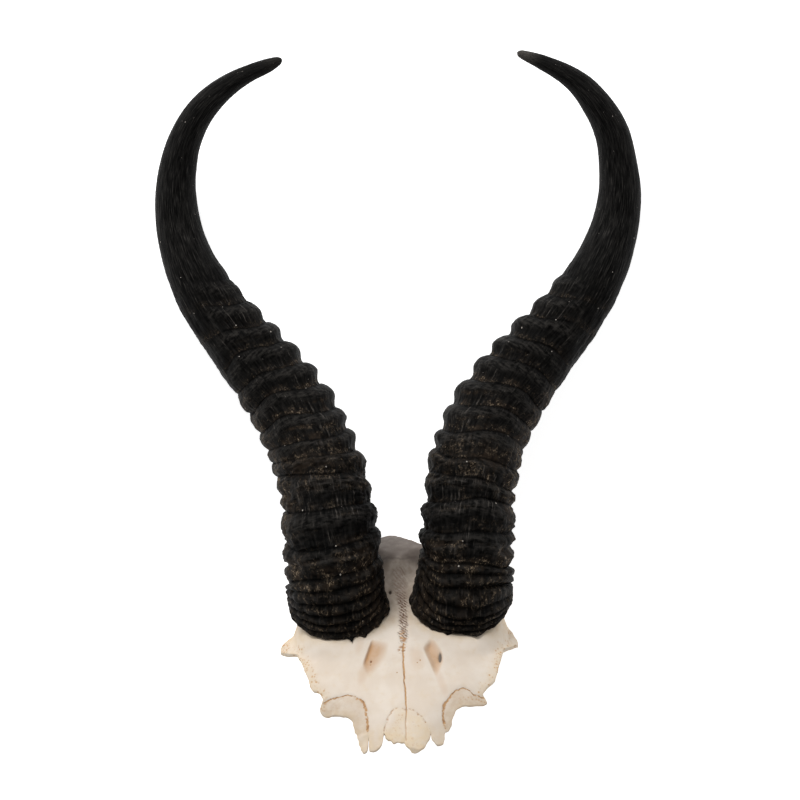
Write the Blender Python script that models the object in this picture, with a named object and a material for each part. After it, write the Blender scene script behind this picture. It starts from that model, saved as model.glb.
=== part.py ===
"""Springbok skull plate: the sawn-off roof of a springbok ram's skull with its two ringed horns.

The object lies on its back on a level surface. +X runs across it, +Y from the nose end to the
horn tips, and +Z up, out of the face. The origin is under the middle of the object's outline,
on the surface. It rests on the back edge of the saw cut and on the bow of each horn.
Three pieces: the bone plate, and two horn sheaths that sit on its pedicles.

Sizes are written in millimetres, and MM turns them into metres as each mesh is made.
"""

import math

import bpy
import numpy as np
from mathutils import Euler, Matrix, Vector

MM = 0.001
COLLECTION = "springbok_skull_plate"

# The bone plate's own frame: x across, y from the nose (-) to the back of the head (+), and z up
# off the bone. It leans back against the surface, with its nose end raised.
PLATE_LEAN = math.radians(45)
PLATE_TURN = math.radians(1.6)
PLATE_AT = (2.1, -89.3, 51.8)

# Midline profile of the skull roof, nose to back of head.
SPINE_Y = (-95, -78, -63, -50, -35, -20, -8, 4, 16, 30, 42, 54, 64)
SPINE_Z = (-12, -7, -3, -1, 0, -0.5, -1.5, -2.5, -3.5, -5.5, -9.5, -16.5, -25)

# How the roof falls away to the sides: by FALL_DROP at FALL_REACH from the midline.
FALL_Y = (-95, -62, -48, -20, -8, 5, 64)
FALL_REACH = (22, 27, 42, 42, 44, 38, 31)
FALL_DROP = (8, 9, 9, 9, 11, 13, 16)
FALL_POWER = (2.0, 2.2, 2.2, 2.2, 2.4, 2.6, 2.2)

# The plate's outline, seen square on to the bone. It runs from the back of the head down the
# left side, over the nose end and up the right side.
BACK_EDGE_LEFT = ((-5, 54.2), (-14, 53.4), (-22, 48.5), (-28, 41), (-31, 34), (-35.5, 26.5), (-40, 19),
                  (-42, 11), (-41.6, 3), (-42.6, -3.5))
LEFT_WING = ((-46, -6.4), (-49.4, -7.8), (-52.4, -9.8), (-53.6, -12.4), (-52.6, -14.4), (-48.4, -17.2))
LEFT_ORBIT = ((-45.8, -19.4), (-43.7, -26.6), (-42.2, -33), (-41, -37.5), (-39.5, -42), (-37.6, -45),
              (-35.4, -47))
LEFT_TEAR_BONE = ((-34.6, -49.5), (-35.9, -52.4), (-35.2, -54), (-33.3, -54.6), (-30.5, -54.8),
                  (-26, -56.2), (-23.4, -57.8))
LEFT_SPIKES = ((-22, -60.5), (-20.9, -65.5), (-19.8, -69.6), (-18.8, -72.8), (-17.6, -74.2), (-16.5, -73.4),
               (-16.6, -70.2), (-16.7, -66.4), (-15.9, -66.2), (-15.5, -69.6), (-15.2, -73),
               (-13.9, -75), (-12.3, -74.8), (-10.9, -73.6), (-10, -71), (-9.2, -68.2))
NOSE_END = ((-8.3, -70.4), (-6.8, -71.4), (-5, -72.2), (-2.6, -73), (-0.6, -73), (1.2, -74.6),
            (2.6, -76.2), (4, -77.6), (5.8, -76.4), (7.6, -74.6), (9.2, -71.4), (10.4, -68.4))
RIGHT_SPIKE = ((11.2, -69.8), (12, -72), (13.4, -72.9), (15.2, -72.4), (16, -69.6), (16.8, -66),
               (18.2, -64.8), (19.4, -61.4))
RIGHT_TEAR_BONE = ((20.4, -58), (22.6, -55.4), (26.3, -53.6), (29.6, -52.8), (33.4, -52.2), (35, -50.9),
                   (33.8, -50), (32.6, -49.2))
RIGHT_ORBIT = ((34.2, -47.6), (36.6, -44.8), (38.5, -41.2), (40, -36.3), (41.4, -31), (42.3, -26),
               (43.4, -20.6))
RIGHT_WING = ((46.4, -17.6), (49, -15.9), (50.2, -13.8), (49.6, -10.6), (48.4, -6.8))
BACK_EDGE_RIGHT = ((44.8, -4), (41.6, -0.8), (40.8, 5), (40.4, 12), (38.4, 19.5), (34.5, 27), (31, 33.5),
                   (27.5, 40.5), (22, 45.2), (15, 47.4), (10, 49), (6.5, 51.6), (1.5, 53.8))
PLATE_OUTLINE = (BACK_EDGE_LEFT + LEFT_WING + LEFT_ORBIT + LEFT_TEAR_BONE + LEFT_SPIKES + NOSE_END
                 + RIGHT_SPIKE + RIGHT_TEAR_BONE + RIGHT_ORBIT + RIGHT_WING + BACK_EDGE_RIGHT)
PLATE_MIDDLE = (0, 4)

# The saw left a flat face this far below the forehead. The bone is thin at its free edges and
# thickens inward, and hollows under it leave a shell: brain, nose and the two orbits.
SAW_DEPTH = -19.5
EDGE_THICKNESS = 2.2
THICKEN_SLOPE = 1.3
SHELL = 3.0
HOLLOW_SOFTNESS = 7.0
HOLLOWS = {
    "brain": ((0, 20), (26, 30)),
    "nose": ((0, -53), (19, 38)),
    "nose_end": ((0, -86), (70, 27)),
    "left_orbit": ((-48, -33), (25, 22)),
    "right_orbit": ((47, -33), (25, 22)),
}

# A pit over each eye: centre on the roof, half sizes, and its turn about the roof's normal.
PITS = {
    "left_pit": ((-13.4, -29.5), (3.8, 7.6, 3.4), -0.30),
    "right_pit": ((14.6, -28.5), (4.0, 7.8, 3.4), 0.42),
}

# Each horn leaves the plate on an oval pedicle, square to the pedicle's flat top.
HORN_RISE = math.radians(31)
HORN_GAP = 0.4
PEDICLE_INSET = (1.4, 6.0)
PEDICLE_MARGIN = 3.4
PEDICLE_FLANK = (11.0, 4.5)
BASE_HALF_WIDTH = 22.2
DEPTH_TO_WIDTH = 1.15
BASE_RUN = 12

# Points along the middle of each horn, base to tip, with the half width over the ridges there.
LEFT_PEDICLE = (-28.2, 4.2, -8.0)
LEFT_HORN_LINE = (
    (-26.8, -71.0, 51.2, 21.9), (-29.6, -56.6, 49.7, 21.0), (-31.7, -44.4, 46.0, 20.0),
    (-34.3, -34.9, 41.7, 19.5), (-40.5, -18.7, 33.2, 18.9), (-48.4, -4.6, 26.5, 18.1),
    (-61.9, 13.9, 20.8, 16.4), (-73.7, 28.8, 17.7, 14.9), (-84.3, 42.5, 15.5, 13.5),
    (-92.9, 58.6, 13.9, 12.1), (-97.7, 74.7, 13.8, 10.7), (-99.1, 87.6, 16.1, 9.7),
    (-98.2, 100.6, 20.7, 8.6), (-94.2, 114.3, 27.7, 7.5), (-85.9, 127.2, 35.2, 6.6),
    (-75.7, 136.0, 39.7, 5.5), (-64.4, 142.1, 42.7, 4.3), (-56.3, 145.2, 44.2, 3.2),
    (-50.7, 147.5, 45.2, 1.5))
LEFT_RIDGES = (3, 7.5, 12.5, 19, 28, 39.5, 50, 60, 71, 80, 90.5, 102, 114, 127, 142, 156)

RIGHT_PEDICLE = (25.8, 4.2, -7.5)
RIGHT_HORN_LINE = (
    (28.5, -69.7, 50.8, 21.9), (30.1, -56.6, 49.6, 21.0), (31.7, -44.5, 46.0, 20.0),
    (34.0, -31.8, 40.6, 19.7), (38.1, -17.0, 32.8, 19.2), (43.9, -5.5, 27.0, 18.6),
    (54.1, 8.5, 22.2, 17.5), (64.1, 21.6, 19.4, 16.4), (75.5, 35.0, 17.2, 14.8),
    (86.4, 50.6, 15.3, 13.4), (93.3, 65.3, 14.2, 12.2), (97.3, 78.6, 14.6, 10.9),
    (98.8, 91.8, 17.6, 9.9), (98.1, 102.3, 21.4, 9.1), (94.6, 117.8, 28.2, 7.9),
    (88.0, 128.3, 34.6, 6.8), (78.0, 138.2, 40.1, 5.4), (63.7, 146.0, 43.6, 3.9),
    (52.3, 150.5, 45.1, 1.5))
RIGHT_RIDGES = (3, 7.5, 12.5, 20, 28, 39, 50, 60, 69.5, 79, 89, 101.5, 114, 128, 141, 154)

# Ridge depth along the horn, and the stretch over which the outer side's ridges die away.
RIDGE_AT = (0, 14, 24, 60, 110, 150, 172)
RIDGE_DEPTH = (0.7, 0.9, 2.0, 2.4, 2.4, 1.8, 0.0)
INNER_LIFT = (0.0, 0.0, 0.0, 0.3, 1.1, 0.5, 0.0)
OUTER_FADE = (95, 130)

# Mesh fineness. Ridges that stand closer than WRINKLE_SPAN take fewer sections each.
HORN_SIDES = 18
STEPS_PER_RIDGE = 4
STEPS_PER_WRINKLE = 2
WRINKLE_SPAN = 6.0
TIP_STEP = 7.5
HEADING_STEP = 0.5
LONGEST_EDGE = 8.0
TOP_RINGS = (0.22, 0.42, 0.58, 0.71, 0.82, 0.91, 1.0)
BOTTOM_RINGS = (1.0, 0.94, 0.87, 0.79, 0.71, 0.63, 0.54, 0.44, 0.32, 0.16)
PIT_SEGMENTS = 14
PIT_RINGS = 8
HARD_EDGE = math.radians(50)

# The plate's rings start as a plain loop, smoothed over LOOP_SOFTNESS of the outline and drawn in
# to LOOP_SHARE of its size, which is ring LOOP_AT.
LOOP_SOFTNESS = 14.0
LOOP_SHARE = 0.80
LOOP_AT = 0.62

BONE_COLOUR = (0.80, 0.70, 0.57)
BONE_ROUGHNESS = 0.6
HORN_COLOUR = (0.016, 0.013, 0.012)
HORN_ROUGHNESS = 0.45


def smooth_step(t):
    """0 below 0, 1 above 1, and an even S between."""
    t = np.clip(t, 0.0, 1.0)
    return t * t * (3.0 - 2.0 * t)


def smooth_curve(places, values, at):
    """Cubic curve through the values, with each point's slope taken from its neighbours."""
    places = np.asarray(places, float)
    values = np.asarray(values, float)
    slope = np.gradient(values, places, axis=0)
    at = np.clip(at, places[0], places[-1])
    i = np.clip(np.searchsorted(places, at, side="right") - 1, 0, len(places) - 2)
    span = places[i + 1] - places[i]
    t = (at - places[i]) / span
    if values.ndim == 2:
        span = span[:, None]
        t = t[:, None]
    start = (1 + 2 * t) * (1 - t) ** 2 * values[i] + t * (1 - t) ** 2 * span * slope[i]
    end = t * t * (3 - 2 * t) * values[i + 1] + t * t * (t - 1) * span * slope[i + 1]
    return start + end


def oval_reach(x, y, centre, half):
    """0 at an oval's centre, 1 on its edge, growing outward."""
    return np.hypot((x - centre[0]) / half[0], (y - centre[1]) / half[1])


def pedicle_tip():
    """Slope of a pedicle's top in the plate's frame: it faces along the horn's first stretch."""
    return math.tan(PLATE_LEAN - HORN_RISE)


def roof(x, y):
    """Height of the outer bone surface: a curved spine, sides that fall away, two pedicles."""
    sideways = np.abs(x) / smooth_curve(FALL_Y, FALL_REACH, y)
    fall = smooth_curve(FALL_Y, FALL_DROP, y) * sideways ** smooth_curve(FALL_Y, FALL_POWER, y)
    z = smooth_curve(SPINE_Y, SPINE_Z, y) - fall
    half_length = BASE_HALF_WIDTH * DEPTH_TO_WIDTH * math.cos(PLATE_LEAN - HORN_RISE)
    for cx, cy, cz in (LEFT_PEDICLE, RIGHT_PEDICLE):
        beyond = (oval_reach(x, y, (cx, cy), (BASE_HALF_WIDTH, half_length)) - 1) * BASE_HALF_WIDTH
        top = cz - pedicle_tip() * (y - cy)
        from_middle = np.maximum(np.hypot(x - cx, y - cy), 1)
        outward = np.clip((x - cx) * np.sign(cx) / from_middle, 0, 1) ** 2
        inset = PEDICLE_INSET[0] + (PEDICLE_INSET[1] - PEDICLE_INSET[0]) * outward
        flank = PEDICLE_FLANK[0] + (PEDICLE_FLANK[1] - PEDICLE_FLANK[0]) * outward
        margin = np.where(z > top, PEDICLE_MARGIN, -inset)
        z = z + (top - z) * smooth_step(1 - (beyond - margin) / flank)
    return np.maximum(z, SAW_DEPTH + EDGE_THICKNESS)


def distance_to_outline(x, y, outline):
    """Distance from each point to the nearest side of the closed outline."""
    best = np.full(x.shape, np.inf)
    for (ax, ay), (bx, by) in zip(outline, np.roll(outline, -1, axis=0)):
        length = (bx - ax) ** 2 + (by - ay) ** 2
        t = np.clip(((x - ax) * (bx - ax) + (y - ay) * (by - ay)) / length, 0, 1)
        best = np.minimum(best, np.hypot(x - ax - t * (bx - ax), y - ay - t * (by - ay)))
    return best


def underside(x, y, outline):
    """Height of the bone's lower surface: the saw cut, the thin free edges and the hollows."""
    top = roof(x, y)
    inward = distance_to_outline(x, y, outline)
    low = np.maximum(SAW_DEPTH, top - EDGE_THICKNESS - THICKEN_SLOPE * inward)
    shell = top - SHELL
    for centre, half in HOLLOWS.values():
        inside = (1 - oval_reach(x, y, centre, half)) * min(half) / HOLLOW_SOFTNESS
        low = low + np.maximum(shell - low, 0) * smooth_step(inside)
    return low


def plate_outline():
    """The outline's points, with long sides divided."""
    points = []
    corners = np.array(PLATE_OUTLINE, float)
    for start, end in zip(corners, np.roll(corners, -1, axis=0)):
        parts = math.ceil(np.linalg.norm(end - start) / LONGEST_EDGE)
        points += [start + (end - start) * i / parts for i in range(parts)]
    return np.array(points)


def inner_loop(outline):
    """A plain loop inside the outline, which the mesh's rings pass on their way to the edge."""
    step = np.linalg.norm(outline - np.roll(outline, 1, axis=0), axis=1)
    along = np.cumsum(step)
    total = along[-1]
    apart = np.abs(along[:, None] - along[None, :])
    apart = np.minimum(apart, total - apart)
    weight = np.exp(-(apart / LOOP_SOFTNESS) ** 2) * (step + np.roll(step, -1))[None, :]
    smoothed = (weight @ outline) / weight.sum(axis=1)[:, None]
    middle = np.array(PLATE_MIDDLE, float)
    return middle + LOOP_SHARE * (smoothed - middle)


def ring_in_plan(t, outline, loop):
    """Ring t of the plate seen square on: 0 is the middle point, LOOP_AT the loop, 1 the edge."""
    middle = np.array(PLATE_MIDDLE, float)
    if t <= LOOP_AT:
        return middle + (loop - middle) * (t / LOOP_AT)
    return loop + (outline - loop) * ((t - LOOP_AT) / (1 - LOOP_AT))


def band_faces(rings, sides):
    """Four-sided faces between neighbouring rings of points, each with the same count of sides."""
    faces = []
    for r in range(rings - 1):
        near = r * sides
        far = near + sides
        for i in range(sides):
            j = (i + 1) % sides
            faces.append((near + i, far + i, far + j, near + j))
    return faces


def new_object(name, points, faces, material, collection):
    """A named mesh object, shaded smooth with its hard edges kept."""
    mesh = bpy.data.meshes.new(name)
    mesh.from_pydata([tuple(p) for p in points], [], faces)
    mesh.update()
    mesh.shade_smooth()
    mesh.set_sharp_from_angle(angle=HARD_EDGE)
    mesh.materials.append(material)
    thing = bpy.data.objects.new(name, mesh)
    collection.objects.link(thing)
    return thing


def plate_matrix():
    """Where the plate's own frame lies in the world, in millimetres."""
    turn = Euler((-PLATE_LEAN, 0, PLATE_TURN)).to_matrix().to_4x4()
    return Matrix.Translation(PLATE_AT) @ turn


def make_plate(material, collection):
    """The bone plate: rings of points over the roof, round the edge and back along the underside."""
    outline = plate_outline()
    loop = inner_loop(outline)
    count = len(outline)
    rings = []
    for t in TOP_RINGS:
        plan = ring_in_plan(t, outline, loop)
        rings.append(np.column_stack([plan, roof(plan[:, 0], plan[:, 1])]))
    for t in BOTTOM_RINGS:
        plan = ring_in_plan(t, outline, loop)
        rings.append(np.column_stack([plan, underside(plan[:, 0], plan[:, 1], outline)]))
    middle = np.array([PLATE_MIDDLE], float)
    top_middle = np.column_stack([middle, roof(middle[:, 0], middle[:, 1])])
    low_middle = np.column_stack([middle, underside(middle[:, 0], middle[:, 1], outline)])
    points = np.vstack(rings + [top_middle, low_middle])
    faces = band_faces(len(rings), count)
    top_pole = len(rings) * count
    low_pole = top_pole + 1
    last = (len(rings) - 1) * count
    for i in range(count):
        j = (i + 1) % count
        faces.append((top_pole, i, j))
        faces.append((low_pole, last + j, last + i))
    plate = new_object("skull_plate", points * MM, faces, material, collection)
    place = plate_matrix()
    plate.location = place.to_translation() * MM
    plate.rotation_euler = place.to_euler()
    return plate


def cut_pit(plate, name, centre, half, turn, cutters):
    """An oval pit sunk into the roof over one eye."""
    bpy.ops.mesh.primitive_uv_sphere_add(segments=PIT_SEGMENTS, ring_count=PIT_RINGS, radius=1)
    cutter = bpy.context.object
    cutter.name = name
    z = float(roof(np.array([centre[0]], float), np.array([centre[1]], float))[0])
    plate_place = Matrix.LocRotScale(plate.location, plate.rotation_euler, None)
    on_plate = Matrix.Translation(Vector((*centre, z)) * MM) @ Matrix.Rotation(turn, 4, "Z")
    cutter.matrix_world = plate_place @ on_plate @ Matrix.Diagonal((*(Vector(half) * MM), 1))
    cutter.display_type = "WIRE"
    cutter.hide_render = True
    for holder in list(cutter.users_collection):
        holder.objects.unlink(cutter)
    cutters.objects.link(cutter)
    cut = plate.modifiers.new(name, "BOOLEAN")
    cut.operation = "DIFFERENCE"
    cut.object = cutter


def ridge_profile(along, ridges):
    """1 on each ridge's crest and 0 in the notch between two ridges, from its place on the horn."""
    count = np.interp(along, ridges, np.arange(len(ridges)))
    return 0.5 + 0.5 * np.cos(2 * np.pi * count)


def horn_stations(length, ridges):
    """Distances along the horn of its cross-sections: a few to each ridge, then the plain tip."""
    marks = []
    for start, end in zip((0.0,) + ridges[:-1], ridges):
        steps = STEPS_PER_RIDGE if end - start > WRINKLE_SPAN else STEPS_PER_WRINKLE
        marks += [start + (end - start) * i / steps for i in range(steps)]
    plain = length - ridges[-1]
    steps = round(plain / TIP_STEP)
    marks += [ridges[-1] + plain * i / steps for i in range(steps + 1)]
    return np.array(marks)


def horn_path(base, start, line, ridges):
    """Places along the horn, and at each its middle, half width, sideways and outward directions."""
    first = [*base, BASE_HALF_WIDTH]
    second = [*(base + start * BASE_RUN), BASE_HALF_WIDTH]
    knots = np.array([first, second] + [list(p) for p in line], float)
    gaps = np.linalg.norm(np.diff(knots[:, :3], axis=0), axis=1)
    places = np.concatenate([[0], np.cumsum(gaps)])
    marks = horn_stations(places[-1], ridges)
    section = smooth_curve(places, knots, marks)
    before = smooth_curve(places, knots, marks - HEADING_STEP)
    after = smooth_curve(places, knots, marks + HEADING_STEP)
    ahead = (after - before)[:, :3]
    ahead[0] = start
    ahead /= np.linalg.norm(ahead, axis=1)[:, None]
    side = np.cross(ahead, (0, 0, 1))
    side /= np.linalg.norm(side, axis=1)[:, None]
    face = np.cross(side, ahead)
    return marks, section[:, :3], section[:, 3:4], side, face


def ridge_depths(marks, ridges, angle, inward):
    """How far each point is sunk below the ridges' crests. The outer side grows smooth upward."""
    outer = smooth_step(0.5 - inward * np.cos(angle))[None, :]
    fade = smooth_step((marks - OUTER_FADE[0]) / (OUTER_FADE[1] - OUTER_FADE[0]))[:, None]
    depth = smooth_curve(RIDGE_AT, RIDGE_DEPTH, marks)[:, None] * (1 - outer * fade)
    lift = smooth_curve(RIDGE_AT, INNER_LIFT, marks)[:, None] * (1 - outer)
    crest = ridge_profile(marks, ridges)[:, None]
    sunk = depth * (1 - crest) - lift * crest
    sunk[0] = depth[0]
    return sunk


def make_horn(name, pedicle, line, ridges, inward, material, collection):
    """One horn: oval sections along its line, from a flat base on the pedicle to the tip."""
    place = plate_matrix()
    facing = Vector((0, pedicle_tip(), 1)).normalized()
    base = place @ (Vector(pedicle) + facing * HORN_GAP)
    start = (place.to_3x3() @ facing).normalized()
    marks, middle, half_width, side, face = horn_path(base, start, line, ridges)
    angle = 2 * np.pi * np.arange(HORN_SIDES) / HORN_SIDES
    sunk = ridge_depths(marks, ridges, angle, inward)
    wide = (half_width - sunk) * np.cos(angle)
    deep = (half_width * DEPTH_TO_WIDTH - sunk) * np.sin(angle)
    points = middle[:, None] + wide[:, :, None] * side[:, None] + deep[:, :, None] * face[:, None]
    points = points.reshape(-1, 3) - np.array(base)
    faces = band_faces(len(marks), HORN_SIDES)
    faces.append(tuple(range(HORN_SIDES)))
    last = (len(marks) - 1) * HORN_SIDES
    faces.append(tuple(reversed(range(last, last + HORN_SIDES))))
    horn = new_object(name, points * MM, faces, material, collection)
    horn.location = base * MM
    return horn


def make_material(name, colour, roughness):
    """A plain finish with a colour and a roughness."""
    material = bpy.data.materials.new(name)
    material.use_nodes = True
    shader = material.node_tree.nodes["Principled BSDF"]
    shader.inputs["Base Color"].default_value = (*colour, 1)
    shader.inputs["Roughness"].default_value = roughness
    shader.inputs["Metallic"].default_value = 0
    return material


def main():
    for thing in list(bpy.data.objects):
        bpy.data.objects.remove(thing)
    parts = bpy.data.collections.new(COLLECTION)
    cutters = bpy.data.collections.new("cutters")
    for holder in (parts, cutters):
        bpy.context.scene.collection.children.link(holder)
    bone = make_material("bone", BONE_COLOUR, BONE_ROUGHNESS)
    plate = make_plate(bone, parts)
    for name, (centre, half, turn) in PITS.items():
        cut_pit(plate, name, centre, half, turn, cutters)
    left = make_material("left_horn_sheath", HORN_COLOUR, HORN_ROUGHNESS)
    right = make_material("right_horn_sheath", HORN_COLOUR, HORN_ROUGHNESS)
    make_horn("left_horn", LEFT_PEDICLE, LEFT_HORN_LINE, LEFT_RIDGES, 1, left, parts)
    make_horn("right_horn", RIGHT_PEDICLE, RIGHT_HORN_LINE, RIGHT_RIDGES, -1, right, parts)


main()
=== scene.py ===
"""Springbok skull plate: the finished surfaces of the bone plate and its two ringed horn sheaths.

The plate lies on its back on a pale floor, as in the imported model, in metres with +Z up, and the camera
looks straight down on it. Sizes are written in millimetres and angles round a horn in degrees, where 0 is
the side towards the other horn and 90 the front. Every surface is a formula on a grid of rows and columns.
"""

import math

import bpy
import numpy as np
from mathutils import Euler, Matrix, Vector


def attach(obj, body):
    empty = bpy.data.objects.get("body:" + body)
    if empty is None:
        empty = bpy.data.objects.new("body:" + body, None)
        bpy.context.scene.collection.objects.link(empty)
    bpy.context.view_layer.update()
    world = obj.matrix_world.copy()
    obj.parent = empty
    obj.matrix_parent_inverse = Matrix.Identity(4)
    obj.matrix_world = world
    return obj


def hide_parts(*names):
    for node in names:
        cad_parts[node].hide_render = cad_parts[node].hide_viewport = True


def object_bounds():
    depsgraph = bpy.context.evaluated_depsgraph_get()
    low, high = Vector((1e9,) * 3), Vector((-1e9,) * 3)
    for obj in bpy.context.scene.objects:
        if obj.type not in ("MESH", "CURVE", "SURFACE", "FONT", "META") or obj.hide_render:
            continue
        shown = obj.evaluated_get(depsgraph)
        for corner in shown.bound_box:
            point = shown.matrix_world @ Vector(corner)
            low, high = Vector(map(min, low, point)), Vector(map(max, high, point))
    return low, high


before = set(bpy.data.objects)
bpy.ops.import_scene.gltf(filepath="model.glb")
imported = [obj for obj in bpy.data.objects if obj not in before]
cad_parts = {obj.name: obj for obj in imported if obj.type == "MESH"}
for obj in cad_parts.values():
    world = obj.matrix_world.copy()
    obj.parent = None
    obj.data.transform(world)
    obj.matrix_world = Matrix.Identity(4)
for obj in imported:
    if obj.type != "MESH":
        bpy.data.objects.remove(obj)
packed_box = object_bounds()

MM = 0.001

# Random unevenness: the spread of the waves' lengths in lumps, of their heights in a wandering line, and
# what keeps that line within about -1 to 1.
LUMP_SIZES = (0.75, 1.5)
WANDER_HEIGHTS = (0.4, 1.0)
WANDER_SPREAD = 2.2

# Camera: straight above, with the top of the picture towards +Y.
CAMERA_AT = (1.0, -1.95, 1500.0)
FIELD_WIDTH = 352.0
FIELD_HEIGHT = 40.0
CAMERA_REACH = 20000.0

# The plate's own frame, and its roof: the same shape as the solid's.
PLATE_LEAN = math.radians(45)
PLATE_TURN = math.radians(1.6)
PLATE_AT = (2.1, -89.3, 51.8)

SPINE_Y = (-95, -78, -63, -50, -35, -20, -8, 4, 16, 30, 42, 54, 64)
SPINE_Z = (-12, -7, -3, -1, 0, -0.5, -1.5, -2.5, -3.5, -5.5, -9.5, -16.5, -25)
FALL_Y = (-95, -62, -48, -20, -8, 5, 64)
FALL_REACH = (22, 27, 42, 42, 44, 38, 31)
FALL_DROP = (8, 9, 9, 9, 11, 13, 16)
FALL_POWER = (2, 2.2, 2.2, 2.2, 2.4, 2.6, 2.2)

BACK_EDGE_LEFT = (
    (-4.4, 54.2), (-8.4, 52.4), (-14, 50.6), (-22, 46.5), (-28, 41), (-31, 34), (-35.5, 26.5), (-40, 19),
    (-42, 11), (-42.2, 4.5), (-44.6, -0.6))
LEFT_WING = (
    (-49, -4.4), (-51.2, -6.3), (-52.9, -8.4), (-54, -10.8), (-53.9, -12.8), (-52.8, -14.4),
    (-50.6, -16.4), (-48.3, -17.8), (-46.6, -19.2))
LEFT_ORBIT = (
    (-45.6, -21.8), (-44.3, -25.3), (-42.9, -31.2), (-42, -34.5), (-41.1, -38.2), (-40.5, -41),
    (-39.7, -43.1), (-38.6, -44.4), (-37.3, -45), (-36.2, -46.4), (-35.4, -48.7))
LEFT_TEAR_BONE = (
    (-36, -50.5), (-36.6, -52.2), (-36.3, -53.4), (-35.3, -54.5), (-34.2, -55.5), (-33.2, -56),
    (-31.8, -56), (-29.3, -56.7), (-26.7, -57.5), (-25, -58.4), (-23.5, -59.6))
LEFT_SPIKES = (
    (-22.5, -61.5), (-22, -63.6), (-21, -66.3), (-20.5, -68.8), (-19.7, -71.6), (-18.9, -73.9), (-18, -75),
    (-17.2, -75.1), (-16.6, -74.4), (-16.8, -72.6), (-17.1, -70.5), (-17.2, -68.7), (-16.9, -67.6),
    (-16.3, -69.1), (-16.1, -71.2), (-15.9, -73.4), (-15.5, -75), (-14.4, -76), (-13.1, -75.9),
    (-11.2, -75.3), (-10.3, -74), (-10.1, -72.6), (-9.8, -71))
NOSE_END = (
    (-9.4, -69.9), (-8.9, -71.4), (-7.9, -72.8), (-6.3, -73.4), (-5.2, -74.4), (-4, -74.2), (-1.9, -74.6),
    (-0.9, -74.6), (-0.2, -76), (1, -77), (2, -78.5), (3.3, -79.1), (4.6, -78.7), (6.1, -77.7),
    (7.8, -76.2), (8.8, -74.5), (9.7, -72.8), (10.1, -71.1))
RIGHT_SPIKE = (
    (10.5, -69.8), (10.8, -71.6), (11.3, -72.9), (12.4, -74), (14.2, -74.1), (15.5, -73.1), (16, -71.3),
    (16.4, -69.1))
RIGHT_TEAR_BONE = (
    (16.8, -67.7), (17.8, -67.1), (18.7, -65.5), (19.4, -63.6), (19.8, -61.7), (20.3, -59.8),
    (21.3, -57.8), (22.8, -56.5), (24.5, -55.5), (26.3, -54.9), (28.8, -54.5), (31.8, -53.9), (34, -53.1),
    (35.1, -52), (34.7, -51.1), (33.9, -50.4), (33.3, -49))
RIGHT_ORBIT = (
    (34.2, -47.3), (35, -45.8), (36.9, -43.7), (38.6, -41.3), (39.1, -39.1), (39.9, -36.2), (40.8, -32.7),
    (41.6, -28.7), (42.4, -25.1))
RIGHT_WING = (
    (43.5, -21.3), (45.3, -19.4), (47.5, -17.3), (49.4, -15.2), (49.8, -12.5), (49.1, -10.9), (48.5, -9.2),
    (48, -7))
BACK_EDGE_RIGHT = (
    (45.6, -3.6), (42, -0.4), (40.8, 5), (40.4, 12), (38.4, 19.5), (34.5, 26), (30, 31.5), (25, 36),
    (19, 39.5), (13, 41.8), (8.5, 43.4), (4.1, 46.9), (-0.4, 50.7), (-2.4, 52.9))
PLATE_OUTLINE = (BACK_EDGE_LEFT + LEFT_WING + LEFT_ORBIT + LEFT_TEAR_BONE + LEFT_SPIKES + NOSE_END
                 + RIGHT_SPIKE + RIGHT_TEAR_BONE + RIGHT_ORBIT + RIGHT_WING + BACK_EDGE_RIGHT)
PLATE_MIDDLE = (0, 4)

SAW_DEPTH = -19.5
EDGE_THICKNESS = 2.0
NOSE_THINNING = 1.1
NOSE_THINNING_FROM = -38
NOSE_THINNING_LENGTH = 10
THICKEN_SLOPE = 1.3
SHELL = 3.0
HOLLOW_SOFTNESS = 7.0
HOLLOWS = {
    "brain": ((0, 20), (26, 30)),
    "nose": ((0, -53), (19, 38)),
    "nose_end": ((0, -86), (70, 27)),
    "left_orbit": ((-48, -33), (25, 22)),
    "right_orbit": ((47, -33), (25, 22)),
}

HORN_RISE = math.radians(31)
HORN_GAP = 0.4
PEDICLE_SLOPE = math.tan(PLATE_LEAN - HORN_RISE)
PEDICLE_INSET = (1.4, 6.0)
PEDICLE_MARGIN = 3.4
PEDICLE_FLANK = (11.0, 4.5)
BASE_HALF_WIDTH = 22.2
DEPTH_TO_WIDTH = 1.15
BASE_RUN = 12

# Points along the middle of each horn, base to tip, with the half width over the ridges there.
LEFT_PEDICLE = (-28.2, 4.2, -8.0)
LEFT_HORN_LINE = (
    (-26.8, -71, 51.2, 21.9), (-29.6, -56.6, 49.7, 21), (-31.7, -44.4, 46, 20), (-34.3, -34.9, 41.7, 19.5),
    (-40.5, -18.7, 33.2, 18.9), (-48.4, -4.6, 26.5, 18.1), (-61.9, 13.9, 20.8, 16.4),
    (-73.7, 28.8, 17.7, 14.9), (-84.3, 42.5, 15.5, 13.5), (-92.9, 58.6, 13.9, 12.1),
    (-97.7, 74.7, 13.8, 10.7), (-99.1, 87.6, 16.1, 9.7), (-98.2, 100.6, 20.7, 8.6),
    (-94.2, 114.3, 27.7, 7.5), (-85.9, 127.2, 35.2, 6.6), (-75.7, 136, 39.7, 5.5),
    (-64.4, 142.1, 42.7, 4.3), (-56.3, 145.2, 44.2, 3.2), (-50.7, 147.5, 45.2, 1.5))
RIGHT_PEDICLE = (25.8, 4.2, -7.5)
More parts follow.
